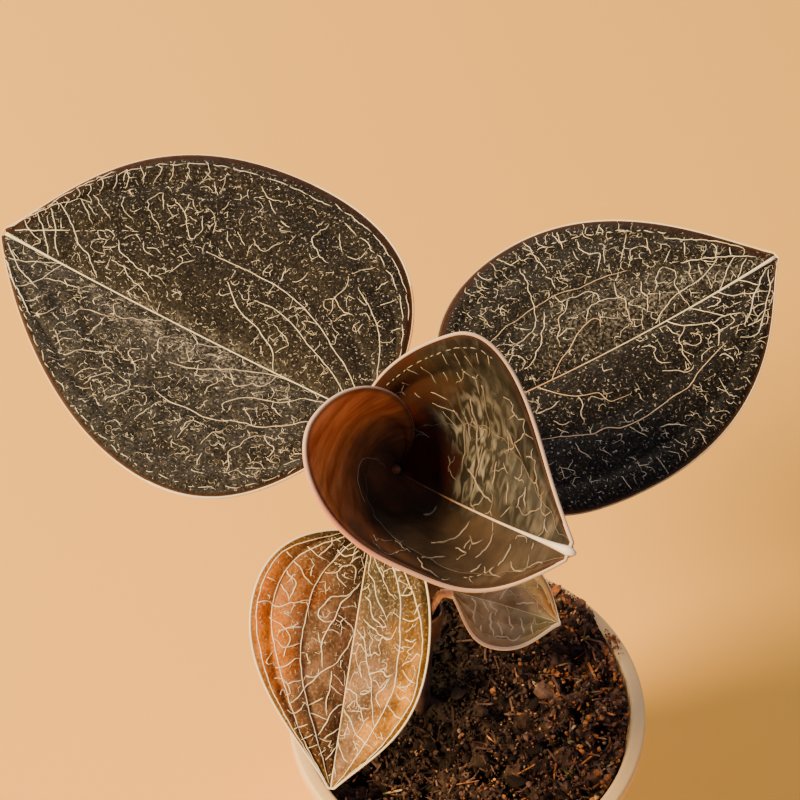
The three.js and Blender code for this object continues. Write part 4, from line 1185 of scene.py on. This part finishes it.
RIGHT_NEAR = """
    -.22,.402 -.29,.41 -.35,.4 -.385,.402 -.41,.4 | -.52,.37 -.58,.375 -.62,.385 -.67,.395 | -.58,.495
    -.63,.505 -.69,.515 | -.69,.535 -.7,.545 -.74,.56 -.78,.57 | -.33,.33 -.38,.355 -.37,.375 | -.23,.29
    -.22,.325 -.2,.355 | -.3,.745 -.43,.735 -.52,.705 | -.43,.735 -.48,.755 -.52,.775 -.46,.783 -.42,.785 |
    -.17,.7 -.2,.685 -.22,.665 -.3,.655 -.35,.645 -.46,.643 | -.29,.66 -.37,.68 -.37,.695 -.34,.7 -.25,.69 |
    -.05,.67 -.12,.665 -.2,.675 | -.05,.63 -.1,.63 | -.1,.59 -.14,.605 -.17,.61 -.2,.6 -.24,.595 -.31,.6
    -.35,.615 | -.35,.59 -.42,.61 -.5,.63 -.47,.645 | -.5,.66 -.47,.67 -.48,.69 -.5,.7 | -.6,.69 -.65,.7
    -.75,.7
"""
RIGHT_RUNGS = " | ".join([
    rungs(0.46, 0.9, 30, (-0.95, 0), (-0.9, -0.003), (-0.86, -0.007)),
    rungs(0.32, 0.7, 14, (0.96, 0), (0.9, -0.004), (0.84, 0.004)),
])


def right_net(q, t, x, y):
    """The fine net shows in patches, more of it towards the tip."""
    share = 0.38 + 0.45 * (patchy(x, y, 15, 22) - 0.45) + 0.15 * (t > 0.6) - 0.12 * (q < 0)
    return np.clip(share, 0.08, 0.75)


def right_curls(q, t, x, y):
    return (0.2 + 0.5 * patchy(x, y, 9, 78)) * (0.4 + 0.55 * (q > 0))


def right_edge_girth(q, t):
    return 1 - 0.3 * (q < 0) - 0.3 * (q > 0) * (t < 0.4)


def right_edge_tone(q, t):
    """The edge is dull along the near side, in painted shade, and dull beside the base on the far one."""
    near = np.interp(t, [0.5, 0.75, 0.9], [-0.75, 0.35, 0])
    return np.where(q < 0, near, np.interp(t, [0.3, 0.5], [-0.65, 0]))


t = np.linspace(0.02, LAST_T, 90)
runs = [
    long_vein(leaf, 0.0, t, 0.115 + 0.3 * t ** 7, np.clip(1.35 - 1.9 * t, 0, 1), 6),
    margin_bead(leaf, 0.175, tone=right_edge_tone, thin=right_edge_girth),
]
for strokes, radius, seed, tone, jitter in [
    (RIGHT_LONG, 0.076, 75, (0.15, 0.6), 0.07), (RIGHT_TIP, 0.085, 76, (0.0, 0.15), 0.12),
    (RIGHT_FAR, 0.07, 77, (-0.1, 0.3), 0.2), (RIGHT_NEAR, 0.07, 78, (-0.1, 0.3), 0.2),
]:
    runs += drawn_runs(leaf, strokes, radius, seed, tone, jitter)
runs += dashed_runs(leaf, 0.86, (0.42, 0.76), (0.6, 2.4), (0.3, 1.0), 0.085, 36, 0.1)
runs += drawn_runs(leaf, RIGHT_RUNGS, 0.06, 38, (-0.7, 0.2), 0.6)
runs += dashed_runs(leaf, -0.93, (0.8, 0.98), (0.6, 3.0), (0.3, 1.2), 0.07, 40, 0.2)
runs += net_runs(leaf, 2.3, right_net, 0.054, 52, (0.2, 0.7), (-0.5, 0.1), clear=0.45)
runs += curl_runs(leaf, 2200, 0.05, right_curls, 64, (-0.85, 0.05), size=0.7)
runs += curl_runs(leaf, 420, 0.055, lambda q, t, x, y: (q > 0) * 0.6, 65, (-1.0, -0.5), bubble=0.6, clear=0.2)
veins = threads("leaf_large_right_veins", runs, cream_vein)
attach(veins, "root")
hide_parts(leaf["name"])

# ---------------------------------------------------------------- coppery front leaf
# A younger, thinner leaf: copper orange at one margin and gold green at the other, painted as the glow of light
# shining through, and grey brown down the middle, with a full net of cream veins. Grown as one piece with its
# stalk.
leaf_coppery_front = {
    "name": "leaf_coppery_front", "length": 39.5, "base": (-15.7, 4.8, 97.8), "yaw": -100.3, "pitch": -28,
    "droop": 0.1, "sag": 0, "rise": (25, 25), "roll": (0.2, 0.2), "stalk_r": 1.05, "wave": 0.7,
    "left": (13.2, 0.47, 0.05, 0.72, 0.22, 0.29, 0.22, 45),
    "right": (17.1, 0.35, -0.01, 0.71, 0.2, 0.31, 0.17, 34.5),
    "sheath": (80.4, 85.6), "stalk": [(-12.4, 6.2, 87), (-15.2, 7.0, 94.5)],
}
SOFTLY = {"interpolation_type": "SMOOTHSTEP"}


def copper_leaf():
    # Thin young leaf tissue with a satin skin: a painted glow of light coming through, copper at one margin and
    # gold olive at the other, speckled grey brown down the middle and dark brown at the tip.
    material, add = blank_material("copper_leaf")
    flat, q, t, inset = leaf_inputs(add)
    broad, cloud, grain = [
        add("TexNoise", flat, FLAT_MM / size, detail) for size, detail in [(8, 4), (4, 4), (0.45, 3)]
    ]
    drift = add("Math", q, add("MapRange", broad, 0.3, 0.7, -0.25, 0.25), operation="ADD")
    tone = add("MapRange", cloud, 0.38, 0.62)
    past_foot = add("MapRange", t, 0.14, 0.4)
    # painted glow: copper where light shines through the margin
    copper_t = add("Math", add("MapRange", t, 0.82, 0.55, 0.1, 1.0), past_foot)
    copper_by = add("Math", add("MapRange", drift, -0.36, -0.88, **SOFTLY), copper_t)
    # painted glow: gold where light shines through the other margin
    gold_t = add("MapRange", t, 0.9, 0.7, 0.35, 1.0)
    gold_by = add("Math", add("MapRange", drift, 0.32, 0.82, **SOFTLY), gold_t)
    tip_by = add("Math", add("MapRange", q, 0.05, -0.1), add("MapRange", t, 0.66, 0.85, 0, 0.85))
    from_base = add("Math", t, add("MapRange", q, -0.2, 0.15, 0, 0.2), operation="SUBTRACT")
    colour = add("Mix", tone, "#604732", "#947054")
    for mask, over in [
        (copper_by, add("Mix", tone, "#b05a06", "#ec8c0a")),
        (add("Math", gold_by, past_foot), add("Mix", tone, "#8a5a06", "#cc8c18")),
        (tip_by, "#4a2f12"),
        (add("MapRange", inset, 1.0, 0.45, 0, 0.7), "#6b4c12"),          # beside the edge
        # painted shade at the foot of the blade
        (add("MapRange", from_base, 0.42, 0.12, 0, 0.9), "#38331f"),     # the darker foot
        (add("MapRange", grain, 0.54, 0.66, 0, 0.38), "#c2a275"),        # specks
        (add("MapRange", grain, 0.47, 0.36, 0, 0.35), "#2e1a08"),        # pits
    ]:
        colour = add("Mix", mask, colour, over)
    pebbled = add("Bump", Height=add("TexVoronoi", flat, FLAT_MM / 1.6), Distance=-0.12 * MM, Strength=0.6)
    add("OutputMaterial", add(
        "BsdfPrincipled", Base_Color=colour, Roughness=0.5, IOR=1.42, Specular_IOR_Level=0.15,
        Subsurface_Weight=0.15, Subsurface_Radius=(1.0, 0.4, 0.15), Subsurface_Scale=0.0008,
        Normal=add("Bump", Height=grain, Distance=0.06 * MM, Strength=0.7, Normal=pebbled),
    ))
    return material


leaf = leaf_coppery_front
bright_vein = vein_skin("bright_cream_vein", "#fff8dc", "#ffe4a8", "#b08a52")
rosy_under = under_skin("rosy_underside", "#9a6a4e", "#b98a66")
leaf.update(form=open_form(leaf), skins=[copper_leaf(), rosy_under, bright_vein], flesh=petiole_flesh)
piece = joined(blade(leaf, 100, 130), stalk_and_sheath(leaf))
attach(piece, "root")
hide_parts(leaf["name"])

# long veins, then the net of each half
COPPER_LONG = """
    -.95,.06 -.95,.3 -.95,.5 -.92,.63 -.93,.71 -.93,.79 -.94,.85 -.95,.93 | -.8,.05 -.8,.3 -.8,.5 -.81,.8
    -.82,.98 | -.38,.04 -.42,.1 -.47,.3 -.48,.4 -.5,.6 -.5,.97 | .9,.08 .9,.4 .93,.5 .95,.6 .93,.7 .95,.8
    .95,.95 | .5,.04 .55,.1 .61,.3 .62,.4 .64,.5 .67,.6 .65,.7 .66,.8 .7,.9 .7,.98
"""
COPPER_HALF = """
    -.02,.25 -.09,.29 -.15,.336 -.207,.381 -.213,.418 -.236,.45 -.29,.507 -.29,.544 -.28,.597 | -.19,.6
    -.18,.65 -.23,.69 -.25,.75 | -.46,.285 -.4,.277 -.33,.256 -.3,.224 -.2,.2 -.13,.216 -.12,.252 | -.01,.45
    -.04,.495 -.1,.545 -.147,.572 -.24,.6 -.357,.637 -.46,.664 -.577,.694 -.76,.72 | -.33,.256 -.3,.276
    -.18,.294 | -.225,.44 -.3,.455 -.373,.438 -.355,.404 -.315,.374 -.28,.353 -.17,.33 -.09,.29 | -.19,.41
    -.11,.415 -.05,.43 -.01,.45 | -.81,.5125 -.69,.52 -.61,.54 -.64,.569 -.77,.558 | -.64,.569 -.5,.55 |
    -.64,.569 -.69,.6 | -.66,.527 -.59,.513 -.5,.503 | -.95,.49 -.825,.473 -.75,.478 -.655,.446 -.47,.4 |
    -.8,.341 -.66,.377 -.66,.407 -.675,.443 | -.78,.4 -.7,.42 -.67,.44 | -.93,.28 -.83,.29 | -.93,.4 -.84,.4
    | -.79,.297 -.72,.31 -.645,.3245 -.54,.342 -.48,.345 | -.8,.22 -.62,.232 -.5,.231 | -.75,.13 -.62,.16
    -.62,.23 | -.5,.645 -.6,.658 -.7,.67 -.74,.658 -.84,.66 | -.7,.67 -.69,.69 -.77,.7 | -.79,.63 -.67,.62
    -.56,.5975 -.5,.59 | -.83,.74 -.78,.75 -.7,.745 -.6,.73 | -.93,.795 -.58,.776 | -.9,.825 -.57,.808 |
    -.85,.85 -.5,.84 | 0,.7 -.08,.712 -.17,.737 -.24,.761 -.36,.797 -.46,.81 | 0,.785 -.1,.797 -.22,.808
    -.35,.825 | 0,.85 -.2,.87 -.45,.89 | -.52,.745 -.4,.748 -.3,.758 -.24,.761 | -.5,.72 -.38,.707 -.26,.69
    | -.18,.645 -.1,.665 -.02,.672 | -.5,.17 -.36,.18 -.25,.16 -.2,.12 | -.12,.14 -.2,.165 -.22,.19
"""
GOLD_HALF = """
    .2,.13 .25,.17 .34,.227 .443,.297 .55,.324 | .09,.211 .19,.241 .25,.282 .28,.32 .37,.36 .42,.392 |
    .08,.3 .16,.32 .19,.345 .25,.385 .33,.4 .38,.425 | .12,.39 .19,.41 .26,.42 .34,.44 .38,.44 .45,.455
    .52,.445 .57,.41 | .03,.43 .18,.475 .21,.515 .3,.564 .37,.608 .42,.65 .5,.683 .6,.71 .66,.727 | 0,.643
    .19,.65 .24,.672 .3,.686 .36,.71 .45,.735 | .02,.717 .22,.744 .34,.768 .5,.782 .66,.79 .88,.8 | .02,.83
    .15,.85 .4,.877 .55,.88 | 0,.91 .3,.94 | .63,.31 .72,.315 .78,.31 .78,.285 | .65,.385 .75,.39 .9,.375 |
    .8,.37 .84,.35 .9,.34 | .7,.445 .77,.45 .85,.44 | .7,.52 .74,.51 .8,.5 .87,.48 .92,.487 | .72,.53
    .78,.545 .92,.555 | .7,.58 .82,.585 | .71,.6 .78,.61 .87,.6 .96,.61 | .66,.64 .77,.65 .84,.66 .96,.66 |
    .75,.73 .83,.74 .92,.75 | .3,.57 .37,.56 .45,.55 .52,.56 .6,.55 | .24,.645 .3,.64 .37,.625 | .31,.69
    .43,.675 | .17,.57 .22,.59 | .58,.565 .53,.6 .47,.62 .46,.635 .6,.66 | .6,.22 .7,.23 .8,.2 .9,.21 |
    .65,.16 .75,.17 .82,.14 | .3,.06 .4,.12 .5,.17 .6,.18 | .05,.1 .12,.15 .1,.21
"""
t = np.linspace(0.02, LAST_T, 70)
runs = [long_vein(leaf, 0.0, t, 0.14, 0.4, 6), margin_bead(leaf, 0.17)]
for strokes, radius, seed, tone, jitter in [
    (COPPER_LONG, 0.095, 81, (0.0, 0.3), 0.07), (COPPER_HALF, 0.09, 82, (0.0, 0.4), 0.15),
    (GOLD_HALF, 0.09, 83, (0.0, 0.4), 0.15),
]:
    runs += drawn_runs(leaf, strokes, radius, seed, tone, jitter)
runs += net_runs(leaf, 2.6, lambda q, t, x, y: 0.45 + 0.2 * patchy(x, y, 9, 23), 0.07, 53,
                 (0.3, 0.9), (-0.2, 0.3), clear=0.5)
runs += curl_runs(leaf, 1300, 0.05, lambda q, t, x, y: 0.7, 66, (-0.9, 0.2), size=0.7)
veins = threads("leaf_coppery_front_veins", runs, bright_vein)
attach(veins, "root")
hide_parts(leaf["name"])

# ---------------------------------------------------------------- small back leaf
# The oldest and smallest leaf, low on the stem: grey olive, faded, with a thick pale edge and an
# orange tint at its tip end. It grew in one piece with its short pale stalk.
leaf_small_back = {
    "name": "leaf_small_back", "length": 18.4, "base": (-3.2, 5.9, 80.5), "yaw": -19.4, "pitch": 4,
    "droop": 0.15, "sag": 0, "rise": (8, 8), "roll": (0.25, 0.25), "stalk_r": 0.8, "wave": 0.4,
    "left": (10.0, 0.44, 0.03, 0.8, 0.24, 0.33, 0.09, 40),
    "right": (8.2, 0.5, -0.2, 0.46, 0.21, 0.335, 0.13, 41),
    "sheath": (69.5, 75.2), "stalk": [(-5.3, 6.2, 77.6), (-4.4, 6.1, 79.5)],
}


def olive_leaf():
    # A faded old leaf: satin grey olive, mottled with brown, that turns amber at the far tip and
    # green at the near one.
    material, add = blank_material("faded_olive_leaf")
    flat, q, t, inset = leaf_inputs(add)
    broad, grain = add("TexNoise", flat, FLAT_MM / 3, 4), add("TexNoise", flat, FLAT_MM / 0.4, 3)
    late = add("Math", t, add("MapRange", broad, 0.3, 0.7, -0.12, 0.12), operation="ADD")
    colour = add("Mix", add("MapRange", broad, 0.38, 0.62), "#94875c", "#beb38a")
    for mask, over in [
        (add("Math", add("MapRange", late, 0.55, 0.85), add("MapRange", q, 0.1, 0.7)), "#b5762a"),
        (add("Math", add("MapRange", q, 0.15, -0.3), add("MapRange", late, 0.62, 0.85, 0, 0.75)), "#626430"),
        (add("MapRange", inset, 1.6, 0.4, 0, 0.5), "#a5875c"),
    ]:
        colour = add("Mix", mask, colour, over)
    add("OutputMaterial", add(
        "BsdfPrincipled", Base_Color=colour, Roughness=0.5, IOR=1.42, Specular_IOR_Level=0.3,
        Subsurface_Weight=0.2, Subsurface_Radius=(1.0, 0.6, 0.3), Subsurface_Scale=0.001,
        Normal=add("Bump", Height=grain, Distance=0.05 * MM, Strength=0.6),
    ))
    return material


leaf = leaf_small_back
faded_vein = vein_skin("faded_vein", "#f6ecc8", "#e4b478", "#c2b288")
soft_edge = vein_skin("pale_cream_edge", "#fff0d4", "#e8c89c", "#b59468")
pale_flesh = fleshy_skin("pale_petiole", "#d2a68c", "#ecccb2", "#b08870")
tan_under = under_skin("tan_underside", "#8f6f55", "#a98b6c")
leaf.update(form=open_form(leaf), skins=[olive_leaf(), tan_under, soft_edge], flesh=pale_flesh)
piece = joined(blade(leaf, 64, 72), stalk_and_sheath(leaf))
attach(piece, "root")
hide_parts(leaf["name"])

# the few side veins that still show
BACK_STROKES = """
    -.3,.45 -.45,.47 -.6,.49 -.78,.5 | -.28,.58 -.45,.6 -.66,.61 | -.3,.66 -.5,.68 -.72,.7 | -.8,.5 -.76,.55
    -.82,.6 -.76,.68 | 0,.3 -.12,.37 -.3,.43 | 0,.4 -.2,.46 -.38,.5 | -.08,.25 -.3,.3 -.5,.32 | .05,.33
    .15,.36 .3,.38 | -.5,.28 -.7,.32 -.8,.33 | -.42,.52 -.56,.54 -.74,.55 | -.66,.4 -.8,.41 | .1,.5 .3,.52
    .5,.53 | -.45,.74 -.62,.75 -.78,.76 | .1,.62 .2,.68 .28,.75
"""
bead = margin_bead(leaf, 0.32, thin=lambda q, t: np.where(q < 0, 1.0, 0.5))
edge = threads("leaf_small_back_edge", [bead], soft_edge)
t = np.linspace(0.04, 0.98, 40)
runs = [long_vein(leaf, 0.0, t, 0.1, 0.0)]
runs += [long_vein(leaf, share, t, 0.06, -0.6, 4, 0.2, 13) for share in (-0.8, -0.45, 0.45, 0.8)]
runs += drawn_runs(leaf, BACK_STROKES, 0.15, 84, (-0.4, 0.1), 0.3)
runs += net_runs(leaf, 2.2, lambda q, t, x, y: 0.4, 0.09, 54, (0.3, 0.8), (-0.9, -0.3))
veins = joined(threads("leaf_small_back_veins", runs, faded_vein), [edge])
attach(veins, "root")
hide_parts(leaf["name"])

# ---------------------------------------------------------------- rolled top leaf
# The youngest leaf, still rolled: a spiral cone with one half wound inside. Its upper face is maroon
# in the throat and lighter brown on the wound side, painted as light coming through; copper on the lobe, a
# painted glow of the sun shining through; and grey green on the open half with a painted silvery sheen. Its rim
# is thick, pale and rosy, with painted shade where it curls in. It grew in one piece and clasps the tip of the
# stem.
BUD_AXIS = np.array([0.129, -0.587, 0.799])
THROAT_BALL_R = 2.7      # the swollen foot where the blade meets its sheath
leaf_rolled_top = {
    "name": "leaf_rolled_top", "length": 39, "axis_yaw": -68.4, "axis_pitch": 37.2, "midrib_turn": 327.9,
    "flare": 0.21, "thick": 0.75, "wave": 0.5, "left": (29.7, 0.32, 0.19, 0.73, 0.24, 0.23, 0.4, 31),
    "right": (24.4, 0.54, 0.13, 0.85, 0.24, 0.23, 0.4, 31), "sheath": (102.9, 105.1), "stalk": [],
}


def cone_lean(turn):
    """How far a ray of the cone leans from its axis, by its turn from the midrib."""
    return (0.239 - 0.021 * turn + 0.193 * (1 - np.cos(turn)) - 0.177 * np.sin(turn)
            - 0.013 * (1 - np.cos(2 * turn)) + 0.088 * np.sin(2 * turn))


def rolled_form(leaf):
    """Where flat points x, y lie on the rolled leaf: the angle about the flat leaf's base, summed
    round the cone, gives the turn."""
    yaw, pitch = radians(leaf["axis_yaw"]), radians(leaf["axis_pitch"])
    axis = np.array([cos(yaw) * cos(pitch), sin(yaw) * cos(pitch), sin(pitch)])
    level = np.array([-sin(yaw), cos(yaw), 0])
    steep = np.cross(axis, level)
    steps = np.radians(np.arange(0, 361))
    tables = {}
    for sign in (1, -1):
        turn = sign * steps
        slope = (cone_lean(turn + 0.01) - cone_lean(turn - 0.01)) / 0.02
        rate = np.hypot(np.sin(cone_lean(turn)), slope)
        tables[sign] = np.concatenate([[0], np.cumsum(rate[1:] * radians(1))])

    def form(x, y):
        r, angle = np.hypot(x, y), np.arctan2(np.abs(y), x)
        turn = np.where(y >= 0, np.interp(angle, tables[1], steps), -np.interp(angle, tables[-1], steps))
        lean = cone_lean(turn) + leaf["flare"] * (r / leaf["length"]) ** 2
        way = radians(leaf["midrib_turn"]) - turn
        return (THROAT + (r * np.cos(lean))[:, None] * axis
                + (r * np.sin(lean) * np.cos(way))[:, None] * level
                + (r * np.sin(lean) * np.sin(way))[:, None] * steep)

    return form


def young_leaf():
    # Young rolled tissue, satin and thin: the throat is deep maroon, lighter brown on the wound side as painted
    # light through the leaf; the wound lobe is copper, a painted glow of light coming through; the far shoulder
    # is amber brown, and the open half grey green with silvery smears of painted sheen.
    material, add = blank_material("young_rolled_leaf")
    flat, q, t, inset = leaf_inputs(add)
    broad, grain = add("TexNoise", flat, FLAT_MM / 7, 3), add("TexNoise", flat, FLAT_MM / 0.5, 3)
    shift = add("MapRange", broad, 0.3, 0.7, -0.08, 0.08)
    side, late = [add("Math", share, shift, operation="ADD") for share in (q, t)]
    tone = add("MapRange", broad, 0.35, 0.65)
    to_wound = add("MapRange", side, -0.06, 0.08, **SOFTLY)
    # partly painted light: the wound half is a lighter brown than the open half, as light comes through it
    open_half, wound_half = add("Mix", tone, "#1d1a15", "#302c24"), add("Mix", tone, "#2e2218", "#473828")
    colour = add("Mix", to_wound, open_half, wound_half)
    # the far shoulder, next to where the margins cross
    shoulder_t = add("MapRange", late, 0.52, 0.38, **SOFTLY)
    shoulder = add("Math", add("MapRange", side, -0.45, -0.8, **SOFTLY), shoulder_t)
    # the wound lobe, streaked along the leaf, painted as the glow of light shining through
    streak = add("TexNoise", add("Mapping", flat, Scale=(0.2, 1, 1)), FLAT_MM / 1.4, 3)
    lobe_colour = add("Mix", add("MapRange", streak, 0.3, 0.74), "#b44e1a", "#ff9a54")
    lobe_early = add("MapRange", late, 0.12, 0.42, 0.3, **SOFTLY)
    lobe_t = add("Math", add("MapRange", late, 0.8, 0.5, **SOFTLY), lobe_early)
    lobe = add("Math", add("MapRange", side, 0.42, 0.92, **SOFTLY), lobe_t)
    # painted light: the throat is a lighter brown on the wound side, as light comes through it; the maroon is
    # its own
    throat = add("Math", add("MapRange", late, 0.46, 0.2, **SOFTLY), add("MapRange", side, 0.75, 0.35))
    # painted silvery sheen, smeared and drawn out across the leaf
    smear = add("TexNoise", add("Mapping", flat, Scale=(1, 0.4, 1)), FLAT_MM / 1.2, 2, Distortion=0.8)
    streaks = add("MapRange", smear, 0.46, 0.68)
    open_side = add("Math", streaks, add("MapRange", side, 0.02, -0.12))
    in_q = add("Math", open_side, add("MapRange", side, -0.8, -0.45, 0.15))
    in_t = add("Math", add("MapRange", late, 0.38, 0.5), add("MapRange", late, 0.72, 0.55, 0.25))
    # painted sheen: the smears also lighten the tip end
    tip = add("Math", add("MapRange", late, 0.7, 0.95), streaks)
    for mask, over in [
        (shoulder, "#3a2f1e"), (lobe, lobe_colour), (throat, add("Mix", to_wound, "#5c1e0e", "#85543a")),
        (add("Math", add("Math", in_q, in_t), 0.65), "#a8a08e"), (add("Math", tip, 0.15), "#9a8068"),
        (add("MapRange", inset, 0.7, 0.3, 0, 0.55), "#4e3022"),
    ]:
        colour = add("Mix", mask, colour, over)
    smeared = add("Bump", Height=smear, Distance=0.15 * MM, Strength=0.4)
    add("OutputMaterial", add(
        "BsdfPrincipled", Base_Color=colour, Roughness=0.5, IOR=1.42, Specular_IOR_Level=0.14,
        Subsurface_Weight=0.08, Subsurface_Radius=(1.0, 0.3, 0.12), Subsurface_Scale=0.0008,
        Normal=add("Bump", Height=grain, Distance=0.05 * MM, Strength=0.5, Normal=smeared),
    ))
    return material


leaf = leaf_rolled_top
rosy_edge = vein_skin("rosy_pale_edge", "#d8c0a8", "#dd9478", "#5a2a14")
veiled_vein = vein_skin("veiled_vein", "#b0a28e", "#ac8460", "#665544")
leaf["form"] = rolled_form(leaf)
px, py = flat_point(leaf, np.array([0.3, -0.3, 0.6, -0.6]), np.array([0.6, 0.6, 0.5, 0.7]))
probe = leaf["form"](px, py)
on_axis = THROAT + np.maximum((probe - THROAT) @ BUD_AXIS, 0)[:, None] * BUD_AXIS
leaf["facing"] = np.sign(((on_axis - probe) * normals_of(leaf, px, py)).sum())     # the upper face looks in
rosy_outside = under_skin("rosy_outside", "#c79a88", "#dbb9a4")
leaf.update(skins=[young_leaf(), rosy_outside, rosy_edge], flesh=petiole_flesh)
only()
bpy.ops.mesh.primitive_uv_sphere_add(
    segments=32, ring_count=20, radius=THROAT_BALL_R * MM, location=THROAT * MM,
)
knob = bpy.context.object
bpy.ops.object.transform_apply(location=True)
bpy.ops.object.shade_smooth()
knob.data.materials.append(petiole_flesh)
piece = joined(blade(leaf, 150, 130, 0.05), [*stalk_and_sheath(leaf), knob])
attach(piece, "root")
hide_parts(leaf["name"])


def rim_girth(q, t):
    """The rim is full along the low side, slimmer at the top, and thin where the wound half curls in."""
    wound = np.interp(t, [0.12, 0.3, 0.45, 0.7, 1], [0.3, 0.5, 0.85, 1.15, 0.9])
    return np.where(q > 0, wound, np.interp(t, [0.1, 0.25, 0.5, 0.8, 1], [0.4, 0.62, 0.8, 1.0, 1.0]))


def rim_tone(q, t):
    """Cream to pink, dark with painted shade where the rim curls in, and salmon along the low side."""
    salmon = np.exp(-((t - 0.72) / 0.14) ** 2)
    return np.where(q > 0, np.where(t < 0.34, -1 + np.clip((t - 0.2) / 0.14, 0, 1), salmon), 0.1)


# soft veiled veins, then the fine short ones beside the margin of the open half
ROLLED_SOFT = """
    -.55,.44 -.42,.46 -.3,.47 -.2,.47 | -.62,.5 -.5,.51 -.4,.515 -.3,.52 | -.35,.54 -.25,.545 -.12,.54 |
    -.5,.47 -.36,.49 | -.2,.5 -.12,.58 -.08,.66 | -.7,.55 -.56,.56 -.4,.57 | -.3,.62 -.18,.63 | -.25,.7
    -.12,.72 | .05,.6 .15,.62 .28,.63 | .06,.72 .16,.74 .26,.75 | .1,.8 .22,.82 .35,.83 | .05,.86 .18,.88 |
    -.35,.78 -.2,.8 | .32,.7 .4,.71 .5,.72 | .12,.66 .2,.68 | -.5,.66 -.4,.67 | .06,.42 .1,.45 .16,.46 |
    .3,.78 .42,.79
"""
ROLLED_DOTS = """
    -.86,.34 -.8,.35 | -.9,.4 -.82,.41 -.74,.415 | -.92,.46 -.84,.465 | -.9,.49 -.82,.495 | -.88,.52
    -.8,.525 | -.93,.37 -.85,.385 | -.7,.39 -.66,.41 -.62,.43 | -.62,.38 -.57,.41 -.53,.44 -.5,.45 |
    -.74,.35 -.68,.36 | -.8,.44 -.74,.445 | -.9,.56 -.83,.56 | -.92,.6 -.86,.6 | -.78,.48 -.72,.485 |
    -.55,.4 -.45,.42 -.42,.44
"""
edge = threads("leaf_rolled_top_edge", [margin_bead(leaf, 0.34, 0.05, rim_tone, rim_girth, 0.2)], rosy_edge)
t = np.linspace(0.06, 0.997, 70)
midrib = (0.11 + 0.1 * t + 0.8 * t ** 12) * np.sqrt(np.clip((1 - t) / 0.03, 0.1, 1))     # round at the tip
mid = [long_vein(leaf, 0.0, t, midrib, np.clip(1.6 - 1.6 * t, 0, 1), 6)]
mid = threads("leaf_rolled_top_midrib", mid, vein_skin("young_midrib", "#fff0de", "#a8744c", "#4a2a14"))
runs = drawn_runs(leaf, ".3,.16 .42,.23 .5,.3 .56,.36 .55,.43 .5,.5", 0.09, 87, (0.8, 1.0), 0.1)
runs += [long_vein(leaf, share, t, 0.06, -0.9, 4, 0.25, 14) for share in (-0.45, 0.45)]
runs += drawn_runs(leaf, ROLLED_SOFT, 0.18, 85, (-0.9, -0.5), 0.2)
runs += drawn_runs(leaf, ROLLED_DOTS, 0.08, 86, (-0.1, 0.3), 0.15)
runs += dashed_runs(leaf, -0.93, (0.31, 0.62), (0.3, 1.1), (0.3, 0.7), 0.09, 39, -0.25, 0.08)
runs += net_runs(leaf, 3.0, lambda q, t, x, y: np.where(t > 0.66, 0.85, 0.12 * (q < 0)), 0.13, 55, (0.3, 0.9),
                 (-0.8, -0.4), wriggle=0.35, reach=0.85)
veins = joined(threads("leaf_rolled_top_veins", runs, veiled_vein), [edge, mid])
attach(veins, "root")
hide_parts(leaf["name"])

# ---------------------------------------------------------------- bud
# The next leaf, still a tight rosy point of juicy tissue. It grows in the throat of the rolled one
# and swells a third of the way up.
BUD_R, BUD_LENGTH = 0.8, 5.2
rings = np.linspace(0, 1, 24)
girth = np.interp(rings, [0, 0.05, 0.35, 0.6, 0.85, 1], [0.02, 0.72, 1, 0.85, 0.45, 0.03])
bud_line = THROAT + rings[:, None] * BUD_LENGTH * BUD_AXIS / np.linalg.norm(BUD_AXIS)
bud = rod("bud_point", bud_line, BUD_R * girth, sides=24)
bud.data.materials.append(fleshy_skin("rosy_bud_flesh", "#ff9c6c", "#ffc8a0", "#ff7c48"))
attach(bud, "root")
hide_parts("bud")

# ---------------------------------------------------------------- floor, light and camera
# A plain pale floor, soft warm light from the upper left with a weak fill, and the camera.
only()
bpy.ops.mesh.primitive_plane_add(size=3)
floor_plane = bpy.context.object
floor_plane.name = "floor"
material = bpy.data.materials.new("pale_floor")
material.use_nodes = True
paint = material.node_tree.nodes["Principled BSDF"].inputs
paint["Base Color"].default_value, paint["Roughness"].default_value = linear("#ffc050"), 0.9
floor_plane.data.materials.append(material)

world = bpy.data.worlds.new("studio")
bpy.context.scene.world = world
world.use_nodes = True
sky = world.node_tree.nodes["Background"].inputs
sky["Color"].default_value, sky["Strength"].default_value = linear("#d4dcfa"), 0.345
for name, place, size, power, tint in [
    ("key", (-0.8, -0.22, 0.72), 0.34, 29.2, "#ffdba0"), ("window", (-0.25, 0.8, 0.8), 0.7, 6.0, "#fff0dc"),
]:
    light = bpy.data.lights.new(name, "AREA")
    light.shape, light.size, light.energy, light.color = "DISK", size, power, linear(tint)[:3]
    lamp = bpy.data.objects.new(name, light)
    lamp.location = place
    lamp.rotation_euler = (Vector((0, 0, 0.09)) - Vector(place)).to_track_quat("-Z", "Y").to_euler()
    bpy.context.collection.objects.link(lamp)

VIEW_ANGLE, VIEW_DOWN, VIEW_FROM = 22.0, 50.3, 388.6
AIM = Vector((-11.24, 66.88, 55.0))
camera = bpy.data.objects.new("camera", bpy.data.cameras.new("camera"))
camera.data.sensor_width = 36.0
camera.data.lens = 18.0 / tan(radians(VIEW_ANGLE / 2))
camera.location = (AIM + VIEW_FROM * Vector((0, -cos(radians(VIEW_DOWN)), sin(radians(VIEW_DOWN))))) * MM
camera.rotation_euler = (radians(90 - VIEW_DOWN), 0, 0)
bpy.context.collection.objects.link(camera)
bpy.context.scene.camera = camera
